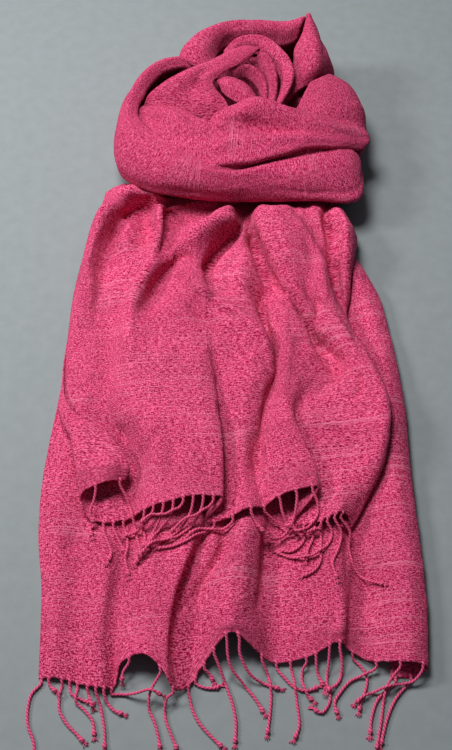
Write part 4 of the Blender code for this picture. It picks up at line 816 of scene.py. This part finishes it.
# rows: sections across the piece, its outer or lower edge first, as x, y and z of each point.
# curls: radius of each of the four edges, and how many degrees it turns. creases: places along
# and across the cloth where each starts and ends, then its bow, half width and rise. drawn: as
# for the two ends
loopStretches = {
    "front_collar": {"rows": (
    # bottom edge, wall bulge, shoulder, top, upper edge
    (-42, 490, 6, -44, 488, 42, -41, 480, 66, -37, 472, 70, -33, 464, 66),
    (-72, 484, 4, -78, 485, 45, -71, 479, 82, -63, 473, 90, -58, 465, 84),
    (-106, 466, 4, -114, 468, 45, -108, 464, 80, -99, 460, 91, -92, 453, 84),
    (-134, 430, 4, -142, 430, 42, -137, 427, 72, -128, 422, 85, -119, 416, 80),
    (-146, 385, 4, -155, 384, 40, -150, 381, 67, -139, 378, 80, -128, 379, 78),
    (-136, 308, 16, -152, 310, 38, -143, 320, 64, -122, 334, 78, -108, 346, 78),
    (-97, 283, 24, -106, 271, 44, -98, 281, 66, -78, 303, 78, -67, 315, 79),
    (-38, 264, 31, -40, 257, 47, -38, 264, 67, -36, 279, 79, -36, 290, 81),
    (-2, 260, 32, -2, 253, 46, -2, 260, 66, -5, 272, 77, -8, 280, 80),
    (60, 260, 33, 62, 251, 46, 61, 259, 66, 60, 276, 77, 58, 310, 79),
    (122, 257, 38, 126, 249, 50, 124, 259, 64, 120, 280, 76, 116, 326, 77),
    (170, 254, 36, 182, 252, 48, 175, 272, 62, 166, 292, 73, 156, 328, 72),
    (184, 300, 4, 191, 304, 36, 185, 311, 59, 175, 320, 67, 162, 336, 64),
    (172, 346, 4, 176, 348, 32, 172, 348, 48, 164, 348, 54, 152, 348, 52),
    ),
        "curls": (5, 150, 5, 170, 5, 150, 4, 150),
        "drawn": (
            (7, 7, -6.0, -16, 282, 8, 280, 46, 292, 84, 303, 122, 312, 158, 316),
        ),
        "creases": (
            (180, 30, 420, 40, 10, 7, -2.6), (420, 66, 640, 58, -8, 6, -2.0),
            (300, 84, 520, 76, 6, 6, 1.8), (560, 36, 800, 52, 8, 8, -2.4),
            (640, 88, 860, 84, -6, 6, 1.6), (90, 60, 260, 76, 6, 7, -1.8),
            (700, 16, 900, 30, 5, 6, 1.6), (450, 18, 620, 12, 5, 6, -1.8),
        )},
    "back_loop": {"rows": (
    (-70, 494, 22, -72, 490, 56, -60, 476, 90, -42, 464, 88, -26, 458, 80),
    (-66, 508, 4, -68, 506, 52, -54, 490, 98, -36, 480, 96, -20, 474, 84),
    (-44, 530, 4, -44, 531, 54, -32, 515, 101, -19, 504, 99, -12, 494, 80),
    (0, 540, 4, 0, 543, 54, 0, 531, 100, 2, 520, 98, 4, 511, 78),
    (45, 543, 4, 45, 546, 56, 43, 534, 101, 43, 522, 99, 43, 513, 78),
    (90, 540, 4, 92, 543, 56, 91, 532, 102, 89, 520, 99, 87, 511, 80),
    (110, 540, 4, 113, 542, 58, 111, 536, 107, 106, 525, 102, 101, 514, 85),
    ),
        "curls": (4, 120, 5, 170, 5, 150, 4, 150),
        "creases": (
            (20, 60, 160, 80, 6, 7, -2.2), (60, 110, 220, 120, -5, 6, 1.8),
        )},
    "right_band": {"rows": (
    (128, 536, 4, 130, 536, 58, 121, 537, 111, 116, 526, 108, 110, 513, 92),
    (146, 512, 4, 148, 510, 54, 127, 509, 107, 115, 502, 104, 101, 494, 88),
    (156, 486, 4, 157, 484, 50, 131, 478, 101, 115, 473, 98, 98, 466, 79),
    (150, 472, 20, 148, 468, 48, 131, 455, 90, 112, 448, 88, 94, 440, 73),
    (138, 456, 30, 134, 450, 54, 122, 438, 74, 104, 428, 75, 86, 420, 66),
    ),
        "curls": (4, 120, 4, 170, 3, 150, 3, 150),
        "creases": ((10, 60, 80, 90, 6, 6, -2.0),)},
    "right_shoulder": {"rows": (
    (98, 362, 79, 104, 384, 83, 111, 402, 85, 117, 417, 86, 121, 428, 86),
    (132, 351, 77, 136, 377, 83, 140, 402, 86, 138, 422, 87, 135, 435, 87),
    (164, 346, 67, 168, 376, 74, 170, 408, 77, 160, 434, 81, 149, 446, 82),
    (188, 350, 55, 190, 380, 61, 188, 416, 64, 174, 444, 68, 160, 457, 66),
    (197, 354, 38, 200, 384, 42, 195, 420, 44, 181, 451, 46, 166, 466, 46),
    (194, 357, 18, 198, 386, 20, 194, 423, 22, 181, 455, 22, 168, 470, 24),
    (190, 358, 5, 192, 388, 4, 188, 424, 4, 176, 456, 4, 166, 474, 8),
    ),
        "curls": (4, 150, 4, 150, 4, 150, 4, 120),
        "creases": (
            (20, 20, 120, 36, 6, 7, -2.0), (40, 60, 150, 66, -6, 7, 1.8),
        )},
    "upper_drape": {"rows": (
    # lower edge, lower face, trough, ridge, inner edge
    (-135, 362, 58, -132, 374, 61, -129, 385, 64, -125, 394, 67, -118, 401, 67),
    (-86, 318, 68, -82, 340, 80, -78, 358, 84, -74, 374, 85, -70, 388, 79),
    (-38, 288, 71, -37, 310, 82, -36, 334, 86, -36, 356, 88, -34, 376, 76),
    (-2, 287, 85, 1, 306, 88, 3, 332, 91, 6, 360, 97, 9, 380, 88),
    (38, 290, 87, 41, 314, 90, 44, 344, 88, 41, 376, 104, 42, 390, 95),
    (80, 304, 87, 82, 322, 90, 84, 340, 86, 83, 366, 101, 82, 379, 92),
    (118, 316, 86, 123, 324, 88, 127, 332, 85, 125, 350, 97, 124, 366, 90),
    (156, 320, 79, 160, 327, 81, 162, 335, 81, 160, 344, 86, 158, 358, 80),
    (188, 328, 64, 195, 335, 65, 198, 344, 64, 197, 352, 65, 193, 362, 65),
    ),
        "curls": (4, 170, 4, 170, 4, 150, 4, 150),
        "drawn": (
            (7, 9, -8.0, -46, 404, -36, 390, -27, 376, -18, 360, -8, 346),
            (6, 9, 3.0, -42, 350, -16, 365, 12, 384, 34, 389, 66, 376, 102, 358),
            (9, 8, -6.5, -8, 352, 19, 350, 50, 345, 81, 336, 110, 322),
            (8, 7, 4.0, -29, 300, 5, 316, 49, 322, 102, 328, 150, 326),
            (6, 8, -3.5, -120, 382, -96, 366, -74, 344, -52, 318),
            (7, 7, 3.0, -112, 396, -90, 386, -66, 366, -44, 334),
            (6, 6, -3.0, -84, 388, -62, 374, -44, 352),
        ),
        "creases": (
            (60, 20, 170, 50, 8, 7, -2.4), (120, 60, 230, 46, -6, 8, -3.0),
            (200, 20, 300, 30, 6, 7, 2.0), (250, 70, 330, 50, 5, 7, -2.6),
        )},
    "diagonal_band": {"rows": (
    # upper edge, three points between, lower edge
    (-117, 400, 61, -86, 391, 69, -56, 385, 69, -28, 383, 69, 4, 388, 74),
    (-106, 413, 80, -80, 407, 84, -52, 402, 79, -27, 402, 85, -5, 404, 82),
    (-87, 425, 89, -66, 421, 92, -46, 418, 86, -30, 417, 92, -16, 414, 88),
    (-58, 441, 95, -48, 436, 97, -39, 431, 93, -29, 428, 96, -20, 424, 93),
    (-25, 457, 98, -22, 450, 101, -18, 444, 100, -15, 438, 99, -12, 433, 95),
    (3, 473, 101, 2, 465, 104, 1, 457, 103, 0, 449, 102, -1, 442, 98),
    (28, 483, 102, 26, 475, 105, 23, 467, 104, 20, 459, 103, 18, 452, 100),
    (46, 479, 102, 44, 476, 104, 41, 472, 104, 39, 469, 103, 36, 466, 100),
    ),
        "curls": (2.5, 150, 1.2, 60, 2, 90, 1.5, 60),
        "drawn": (
            (5, 8, -4.0, -20, 398, -30, 408, -38, 420, -40, 432),
            (5, 5, 2.5, -104, 408, -78, 424, -50, 440, -24, 452),
        )},
    "rosette_outer": {"rows": (
    # rim, face, foot
    (-2, 485, 90, 0, 480, 88, 3, 475, 80),
    (10, 494, 99, 12, 488, 95, 14, 483, 84),
    (29, 501, 103, 29, 494, 99, 29, 488, 85),
    (51, 500, 103, 48, 492, 99, 45, 486, 85),
    (73, 485, 100, 67, 478, 97, 61, 472, 84),
    (88, 462, 97, 80, 457, 94, 74, 453, 83),
    (93, 440, 94, 85, 438, 91, 79, 436, 81),
    (88, 418, 89, 81, 417, 86, 76, 416, 78),
    (75, 397, 81, 71, 398, 78, 67, 399, 72),
    ),
        "curls": (2.2, 150, 1.0, 40, 1.5, 60, 1.5, 60)},
    "rosette_middle": {"rows": (
    (50, 475, 101, 46, 469, 97, 41, 463, 85),
    (61, 463, 99, 55, 458, 95, 49, 454, 83),
    (68, 446, 96, 60, 443, 92, 54, 441, 80),
    (70, 426, 91, 63, 425, 87, 57, 424, 76),
    (68, 405, 84, 62, 406, 80, 57, 407, 71),
    (62, 390, 76, 58, 393, 73, 54, 396, 68),
    ),
        "curls": (1.6, 130, 1.0, 40, 1.0, 40, 1.5, 60)},
    "rosette_inner": {"rows": (
    (10, 446, 93, 12, 443, 89, 14, 440, 82),
    (20, 450, 95, 21, 446, 90, 21, 443, 82),
    (33, 451, 95, 32, 447, 90, 30, 443, 82),
    (45, 445, 93, 42, 441, 88, 39, 437, 80),
    (53, 432, 89, 49, 429, 84, 46, 427, 76),
    (56, 414, 83, 51, 414, 79, 48, 414, 72),
    (55, 398, 76, 51, 399, 73, 48, 400, 68),
    ),
        "curls": (1.4, 110, 1.0, 40, 1.5, 60, 1.5, 60)},
    "rosette_tongue": {"rows": (
    # far edge, middle, near edge
    (-14, 433, 88, -9, 425, 89, -5, 415, 84),
    (-1, 435, 90, 3, 420, 94, 6, 403, 84),
    (14, 432, 90, 16, 416, 95, 16, 396, 84),
    (30, 421, 89, 30, 407, 92, 29, 390, 82),
    (42, 403, 85, 41, 397, 86, 39, 388, 78),
    ),
        "curls": (1.8, 130, 1.5, 60, 1.5, 90, 1.5, 90)},
}


def pieceName(node, ending=""):
    first, *others = node.split("_")
    return first + "".join(part.title() for part in others) + ending


def makeStretch(node, material, seed):
    # the outer or lower edge is the grid's first column, and the first section its first row
    stretch = loopStretches[node]
    sections = np.reshape(stretch["rows"], (len(stretch["rows"]), -1, 3)).astype(float)
    grid, _ = gridThrough(np.swapaxes(sections, 0, 1), scarf["loopStep"], scarf["loopStep"])
    for edge, (radius, turn) in zip(loopShape["edges"], np.reshape(stretch["curls"], (4, 2))):
        grid = curlEdge(grid, edge, radius, turn)
    lay = clothLay(grid)
    normals = gridNormals(grid)
    lift = creaseHeights(lay[..., ::-1], stretch.get("creases", ()))
    lift += crinkle(lay, loopShape["crinkle"], seed)
    lift += foldHeights(grid[..., :2], stretch.get("drawn", ()))
    grid = grid + normals * frontSide(normals) * lift[..., None]
    grid[..., 2] = np.maximum(grid[..., 2], halfWall)
    piece = makeCloth(pieceName(node, "Cloth"), grid, lay, material, floor=0.0)
    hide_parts(node)
    return piece


def bandFaces(low, sides):
    # the faces between a ring of points and the next ring
    high = low + sides
    turns = [(side + 1) % sides for side in range(sides)]
    return [[low + side, low + turn, high + turn, high + side] for side, turn in enumerate(turns)]


hiddenLayers = {
    "outline": (
    # x    y
    (0, 293), (70, 292), (128, 293), (156, 304), (167, 338), (172, 385), (160, 418),
    (126, 446), (122, 480), (106, 512), (45, 530), (0, 526), (-24, 503), (-46, 482),
    (-76, 475), (-106, 456), (-127, 424), (-135, 380), (-128, 342), (-92, 318), (-48, 300),
    ),
    "sidesPerPoint": 12,
    "top": 60.0,
    "flank": 0.72,         # of the top's height, the part that is rolled
    "rolls": 4,
    "rollParts": 8,
    "rollDeep": 3.0,
    "rollLean": 1.5,       # each roll is further in than the one below
    # over the rolls: share of the top's height, and how far in from the outline
    "crown": ((0.72, 9.0), (0.8, 13.0), (0.9, 22.0), (0.98, 30.0), (1.0, 36.0), (0.96, 42.0),
              (0.82, 50.0), (0.66, 58.0)),
    "pit": 36.0,           # floor of the hollow under the coil
    "pitInset": 66.0,
    "layStep": 2.0,        # cloth from ring to ring
    "waveLong": 16,
    "waveHigh": 9,
    "waveDeep": 1.2,
    "waveSeed": 5.0,
}


def makeHiddenLayers(material):
    heap, top = hiddenLayers, hiddenLayers["top"]
    outline = list(heap["outline"])
    sides = heap["sidesPerPoint"] * len(outline)
    closed = np.array(outline + outline[:2], float)
    plan = smoothLine(closed, np.linspace(0, len(outline), sides + 1)[:-1])
    centre = plan.mean(axis=0)
    rings = []
    for roll in range(heap["rolls"]):
        for part in np.linspace(0, 1, heap["rollParts"], endpoint=False):
            bulge = heap["rollDeep"] * (1 - math.sin(math.pi * part))
            rings.append((top * heap["flank"] * (roll + part) / heap["rolls"],
                          bulge + heap["rollLean"] * roll))
    rings += [(top * share, inset) for share, inset in heap["crown"]]
    rings.append((heap["pit"], heap["pitInset"]))
    outward = plan - centre
    reach = np.linalg.norm(outward, axis=1)[:, None]
    around = distancesAlong(plan)
    points, lay = [], []
    for level, (height, inset) in enumerate(rings):
        ring = centre + outward * (reach - inset) / reach
        for side, (x, y) in enumerate(ring):
            wave = noise.noise(Vector((around[side] / heap["waveLong"],
                                       height / heap["waveHigh"], heap["waveSeed"])))
            out = outward[side] / reach[side]
            push = heap["waveDeep"] * wave if level else 0.0      # the lowest ring lies flat
            points.append((x + out[0] * push, y + out[1] * push, height))
            lay.append((around[side], heap["layStep"] * level))
    faces = [list(range(sides))[::-1]]
    for low in range(0, (len(rings) - 1) * sides, sides):
        faces += bandFaces(low, sides)
    faces.append([(len(rings) - 1) * sides + side for side in range(sides)])
    piece = makePiece("hiddenLayersCloth", points, faces, lay, material)
    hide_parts("hidden_layers")
    return piece


fringe = {
    "thick": 3.4,          # a twisted strand
    "plyTurn": 8.5,        # mm of strand for one whole turn of its two plies
    "lobe": 0.24,          # how much its section is two-lobed
    "plainTone": 0.6,      # where the loose threads are between the groove's painted shade and the ply
    "sides": 8,
    "ringStep": 1.5,
    "even": 0.94,          # share of the thickness, and how much more or less it may be
    "uneven": 0.12,
    "rootSwell": (0.9, 3.5),       # more radius at the hem, and how soon that is gone
    "knot": (3.0, 4.5, 2.6),       # radius, distance from the end, half length
    "tip": (0.75, 1.0),            # share of the radius, over this last length
    "tuft": 9.0,           # loose threads past the knot
    "threads": 4,
    "threadPoints": 4,
    "threadSides": 4,
    "threadRadius": 0.62,
    "threadFan": 0.42,     # radians from thread to thread
    "threadStray": 0.3,
    "threadLong": (0.65, 0.35),    # share of the tuft, and how much more or less it may be
    "threadOver": 0.9,     # height over what a thread lies on
    "threadDroop": 0.5,
    "stripDeep": 2.4,      # the solid's backing strip, which a strand passes
    "neck": 3.0,           # a strand runs straight this far
    "lift": 0.5,           # air under a strand
    "floorLift": 0.15,     # its lowest height: it is flattened where it lies on the table
    "sideFeel": 1.5,       # a strand lies on what is this far beside its middle, too
    "fineness": 12,        # points along a route for each drawn point
    "routeStep": 2.0,
    "leastPoints": 4,
    "seedStep": 3.7,       # each strand is uneven in its own way
    "crossNear": 1.1,      # of its thickness, how near an earlier strand lifts a strand
    "crossGap": 0.3,
    "freeRoot": 4.0,       # no earlier strand lifts this much of its start
    "climb": 0.55,         # steepest way up to and down from what a strand lies on
    "fall": 0.9,           # steepest way down from the hem
    # node, the first and last fold of its hem, and a row for each strand: the hem's x where it
    # starts, and its x and y from there
    "long": (
    ("long_fringe_under", "right_under", "right_end", (
        (212, 204, -412, 192, -426, 182, -446, 172, -478),
        (194, 184, -414, 172, -426, 164, -446, 161, -466),
    )),
    ("long_fringe_middle", "arch_left", "right_turn", (
        (-110, -117, -398, -118, -408),
        (-74, -78, -408, -86, -422, -87, -436, -81, -450, -76, -466, -73, -482),
        (-60, -66, -426, -69, -436, -68, -448, -62, -464, -54, -483),
        (-43, -41, -424, -39, -434, -33, -448, -20, -464, -3, -480),
        (-35, -26, -412, -14, -413, -6, -410),
        (-25, -18, -398, -14, -406),
        (-14, -8, -390, 0, -410, 7, -430, 11, -452, 10, -476),
        (0, 2, -380, 6, -394, 19, -408, 33, -425, 43, -442),
        (14, 16, -380, 28, -400, 46, -409, 62, -414),
        (41, 47, -396, 51, -414, 50, -438, 46, -466),
        (58, 66, -400, 78, -412, 92, -416, 106, -411),
        (74, 77, -402, 80, -428, 82, -456, 76, -471),
        (92, 88, -392, 87, -406, 92, -420, 99, -428),
        (103, 104, -392, 107, -402, 112, -411),
        (119, 117, -390, 115, -406, 118, -426, 108, -441, 98, -436),
        (131, 133, -388, 129, -405, 114, -418),
        (146, 155, -388, 161, -400, 159, -414, 153, -428, 150, -440),
        (172, 158, -398, 142, -405, 130, -418, 123, -430, 126, -444),
        (198, 190, -402, 182, -414, 178, -430, 174, -452, 167, -482),
        (224, 214, -406, 196, -410, 174, -416, 156, -423, 146, -431),
    )),
    ("long_fringe_left", "left_edge", "left_tuck", (
        (-211, -221, -420, -224, -440, -222, -456, -215, -472, -212, -490),
        (-202, -199, -412, -192, -418),
        (-187, -189, -424, -188, -438, -180, -452, -168, -464, -158, -474),
        (-178, -176, -419, -164, -426, -152, -430),
        (-169, -170, -428, -160, -438, -150, -450, -147, -468),
        (-157, -154, -426, -150, -436),
        (-147, -143, -430, -139, -446, -136, -462, -135, -482),
        (-138, -134, -430, -127, -438, -115, -443),
        (-130, -122, -420, -104, -421, -86, -419, -72, -424),
    )),
    ),
    "short": (
    ("short_fringe_lip", "corner_under", "left_valley", (
        (-160, -164, -220, -161, -232),
        (-148, -147, -228, -141, -242, -137, -254, -140, -266),
        (-136, -133, -228, -127, -240, -121, -252),
        (-124, -121, -226, -118, -242, -120, -262, -115, -282),
    )),
    ("short_fringe_right", "fold_under", "right_edge", (
        (94, 95, -232, 89, -244, 77, -251, 64, -247),
        (106, 104, -236, 98, -250, 95, -265),
        (115, 114, -234, 113, -252, 112, -266, 103, -278, 91, -283),
        (123, 127, -230, 121, -246, 100, -259, 78, -259, 60, -249),
        (132, 138, -230, 134, -250, 126, -270, 131, -290),
        (140, 149, -228, 147, -246, 152, -268, 164, -284, 186, -296),
    )),
    ("short_fringe_middle", "step_under", "fold_edge", (
        (-14, -23, -227, -35, -233, -46, -241, -63, -248, -84, -251),
        (8, 1, -223, -14, -226, -32, -225, -45, -234),
        (30, 34, -216, 41, -226, 53, -232),
        (46, 52, -207, 62, -214, 73, -224, 84, -233),
        (64, 68, -204, 76, -219, 92, -230, 110, -227),
        (84, 84, -204, 80, -218, 70, -231, 54, -237, 41, -227),
        (104, 110, -196, 110, -210, 101, -223, 87, -229, 73, -221),
    )),
    ("short_fringe_corner", "selvedge", "corner_fold", (
        (-129, -121, -184, -113, -208, -107, -234, -101, -254),
        (-158, -160, -192, -164, -204, -159, -216),
    )),
    ("short_fringe_lobe", "tongue", "step_edge", (
        (-98, -100, -222, -97, -238, -101, -252, -107, -268),
        (-87, -92, -214, -105, -226, -122, -231),
        (-75, -79, -214, -87, -229, -94, -241),
        (-63, -66, -212, -80, -226, -90, -241, -94, -256),
        (-51, -59, -206, -74, -212, -90, -212, -103, -220),
        (-39, -43, -210, -58, -229, -76, -241, -98, -248),
        (-27, -30, -206, -41, -222, -61, -237, -86, -245, -101, -258),
        (-15, -22, -203, -34, -212, -51, -218, -66, -230),
    )),
    ),
}


def strandRoute(root, outward, numbers, topAt, laid):
    # a strand's middle line: smooth in plan, lying on cloth, table and earlier strands
    deep, thick, feel = fringe["stripDeep"], fringe["thick"], fringe["sideFeel"]
    start = [root + outward * deep * 0.5, root + outward * (deep + fringe["neck"])]
    plan = [spot[:2] for spot in start] + list(np.reshape(numbers, (-1, 2)).astype(float))
    fine = smoothLine(plan, np.linspace(0, len(plan) - 1, fringe["fineness"] * len(plan)))
    steps = distancesAlong(fine)
    count = max(fringe["leastPoints"], int(steps[-1] / fringe["routeStep"]))
    places = np.linspace(0, steps[-1], count)
    plan = np.stack([np.interp(places, steps, fine[:, axis]) for axis in (0, 1)], axis=1)
    least = np.array([thick * 0.5 + fringe["lift"] +
                      max(topAt(x, y), topAt(x - feel, y), topAt(x + feel, y)) for x, y in plan])
    if len(laid):
        for index, here in enumerate(plan):
            near = np.linalg.norm(laid[:, :2] - here, axis=1) < thick * fringe["crossNear"]
            if near.any() and places[index] > fringe["freeRoot"]:
                least[index] = max(least[index], laid[near, 2].max() + thick + fringe["crossGap"])
    least[0] = root[2]
    apart = np.abs(places[:, None] - places[None, :])
    height = (least[None, :] - fringe["climb"] * apart).max(axis=1)
    height = np.maximum(height, root[2] - places * fringe["fall"])
    return np.column_stack([plan, height])


def addTube(parts, line, radiusAt, sides, plies):
    # a tube along a line; with plies its section is two-lobed and turns as it goes
    line = np.asarray(line)
    ways = unitVectors(np.gradient(line, axis=0))
    across = unitVectors(np.cross(ways, (0.03, 0.02, 1.0)))      # never along a strand
    over = np.cross(across, ways)
    steps = distancesAlong(line)
    points, faces, lay, groove = parts
    base = len(points)
    for index, spot in enumerate(line):
        turn = 2 * math.pi * steps[index] / fringe["plyTurn"]
        for side in range(sides):
            angle = 2 * math.pi * side / sides
            lobe = math.cos(2 * (angle - turn)) if plies else 0.0
            radius = radiusAt(steps[index]) * (1 + fringe["lobe"] * lobe)
            point = spot + radius * (math.cos(angle) * across[index]
                                     + math.sin(angle) * over[index])
            point[2] = max(point[2], fringe["floorLift"])
            points.append(point)
            lay.append((angle * fringe["thick"] / 2, steps[index]))
            # painted shade: lowest where the section dips between the two plies
            groove.append(0.5 + 0.5 * lobe if plies else fringe["plainTone"])
        if index:
            faces += bandFaces(base + (index - 1) * sides, sides)
    faces.append([base + side for side in range(sides)][::-1])
    faces.append([base + (len(line) - 1) * sides + side for side in range(sides)])


def addStrand(parts, route, floorAt, seed):
    # a twisted strand with its knot and tuft; the numbers beside the seed only pick a place in
    # the noise
    steps = distancesAlong(route)
    length = steps[-1]
    places = np.arange(0, length, fringe["ringStep"])
    line = np.stack([np.interp(places, steps, route[:, axis]) for axis in range(3)], axis=1)
    half = fringe["thick"] / 2
    uneven = fringe["even"] + fringe["uneven"] * noise.noise(Vector((seed, 2.0, 0.0)))
    (swell, swellLong), (tip, tipLong) = fringe["rootSwell"], fringe["tip"]
    knot, knotBack, knotLong = fringe["knot"]

    def radiusAt(place):
        root = swell * math.exp(-(place / swellLong) ** 2)
        end = (knot - half) * math.exp(-((length - knotBack - place) / knotLong) ** 2)
        return (half * uneven + root + end) * (tip if place > length - tipLong else 1.0)
    addTube(parts, line, radiusAt, fringe["sides"], plies=True)
    way = line[-1] - line[-3]
    way /= np.linalg.norm(way)
    threads, (shortest, more) = fringe["threads"], fringe["threadLong"]
    for thread in range(threads):
        spread = ((thread - (threads - 1) / 2) * fringe["threadFan"]
                  + fringe["threadStray"] * noise.noise(Vector((seed, thread, 4.0))))
        cosine, sine = math.cos(spread), math.sin(spread)
        aim = np.array((way[0] * cosine - way[1] * sine, way[0] * sine + way[1] * cosine, way[2]))
        reach = fringe["tuft"] * (shortest + more * noise.noise(Vector((seed, thread, 9.0))))
        tuft = []
        for step in range(fringe["threadPoints"]):
            spot = line[-1] + aim * reach * step / (fringe["threadPoints"] - 1)
            low = floorAt(spot[0], spot[1]) + fringe["threadOver"]
            spot[2] = max(low, spot[2] - fringe["threadDroop"] * step)
            tuft.append(spot)
        addTube(parts, tuft, lambda place: fringe["threadRadius"], fringe["threadSides"],
                plies=False)


def makeFringes(end, grid, across, fringes, walls, material):
    # each stretch of fringe lies on the walls and on the stretches made before it
    names = [fold[0] for fold in end["folds"]]
    pieces = []
    laid = np.zeros((0, 3))
    for name, first, last, strands in fringes:
        topAt = topFinder(walls)
        start, finish = (int(np.argmin(np.abs(across - names.index(fold))))
                         for fold in (first, last))
        hem, inward = (rows[start:finish + 1] for rows in (grid[0], grid[2] - grid[0]))
        order = 1 if hem[-1, 0] > hem[0, 0] else -1
        hem, inward = hem[::order], inward[::order]
        parts = ([], [], [], [])
        for number, (root, *route) in enumerate(strands):
            spot, back = (np.array([np.interp(root, hem[:, 0], rows[:, axis])
                                    for axis in range(3)]) for rows in (hem, inward))
            outward = -back / np.linalg.norm(back)
            line = strandRoute(spot, outward, route, topAt, laid)
            laid = np.vstack([laid, line[2:]])
            line = np.vstack([spot - outward * fringe["neck"], line])
            addStrand(parts, line, topAt, number * fringe["seedStep"] + len(strands))
        points, faces, lay, groove = parts
        piece = makePiece(pieceName(name), points, faces, lay, material, groove)
        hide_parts(name)
        pieces.append(piece)
        walls.append((np.array(points), faces))
    return pieces


def wallOf(piece):
    # the piece's mesh back in the tables' millimetres
    mesh = piece.data
    points = np.zeros(len(mesh.vertices) * 3)
    mesh.vertices.foreach_get("co", points)
    points = points.reshape(-1, 3) / millimetre + (scarf["middleX"], scarf["middleY"], 0.0)
    return points, [tuple(face.vertices) for face in mesh.polygons]


makeStudio()
print("studio ready")
# one cloth in lit and shaded copies: the loop's copy and the coil's inner copy are darkened as
# painted shade
litWeave = weaveMaterial("handLoomedPlainWeave", shadeTone=1.0, slubShare=1.0, spread=0.205)
loopWeaveShaded = weaveMaterial("handLoomedPlainWeaveLoopShaded", shadeTone=0.86, slubShare=0.3, spread=0.265)
innerWeaveShaded = weaveMaterial("handLoomedPlainWeaveInnerShaded", shadeTone=0.72, slubShare=0.2, spread=0.265)
# painted shade: darker, because the real hollows seen into are deeper, and so shadier, than this
# heap's
hiddenWeaveShaded = weaveMaterial("handLoomedPlainWeaveHiddenShaded", shadeTone=0.5, slubShare=0.0, spread=0.265)
yarn = strandMaterial()

longPiece, longGrid, longAcross = makeLongEnd(litWeave)
longWall = wallOf(longPiece)
print("long end", len(longPiece.data.polygons))
shortPiece, shortGrid, shortAcross = makeShortEnd(litWeave, longWall)
shortWall = wallOf(shortPiece)
print("short end", len(shortPiece.data.polygons))

# each stretch's weave, and the cut of what shows of it, across the cloth and along it, in metres
stretches = (
    ("front_collar", loopWeaveShaded, (0.125, 0.62)),
    ("back_loop", loopWeaveShaded, (0.155, 0.225)),
    ("right_band", loopWeaveShaded, (0.14, 0.123)),
    ("right_shoulder", loopWeaveShaded, (0.125, 0.165)),
    ("upper_drape", loopWeaveShaded, (0.105, 0.335)),
    ("diagonal_band", loopWeaveShaded, (0.055, 0.18)),
    ("rosette_outer", loopWeaveShaded, (0.034, 0.165)),
    ("rosette_middle", innerWeaveShaded, (0.03, 0.075)),
    ("rosette_inner", innerWeaveShaded, (0.028, 0.07)),
    ("rosette_tongue", loopWeaveShaded, (0.045, 0.05)),
)
for order, (node, weave, flat) in enumerate(stretches):
    seed = loopShape["firstSeed"] + loopShape["seedStep"] * order
    makeStretch(node, weave, seed)
heap = makeHiddenLayers(hiddenWeaveShaded)
print("hidden layers", len(heap.data.polygons))

longFringes = makeFringes(longEnd, longGrid, longAcross, fringe["long"], [], yarn)
shortFringes = makeFringes(shortEnd, shortGrid, shortAcross, fringe["short"],
                           [longWall, shortWall], yarn)
print("fringes", sum(len(piece.data.polygons) for piece in longFringes + shortFringes))
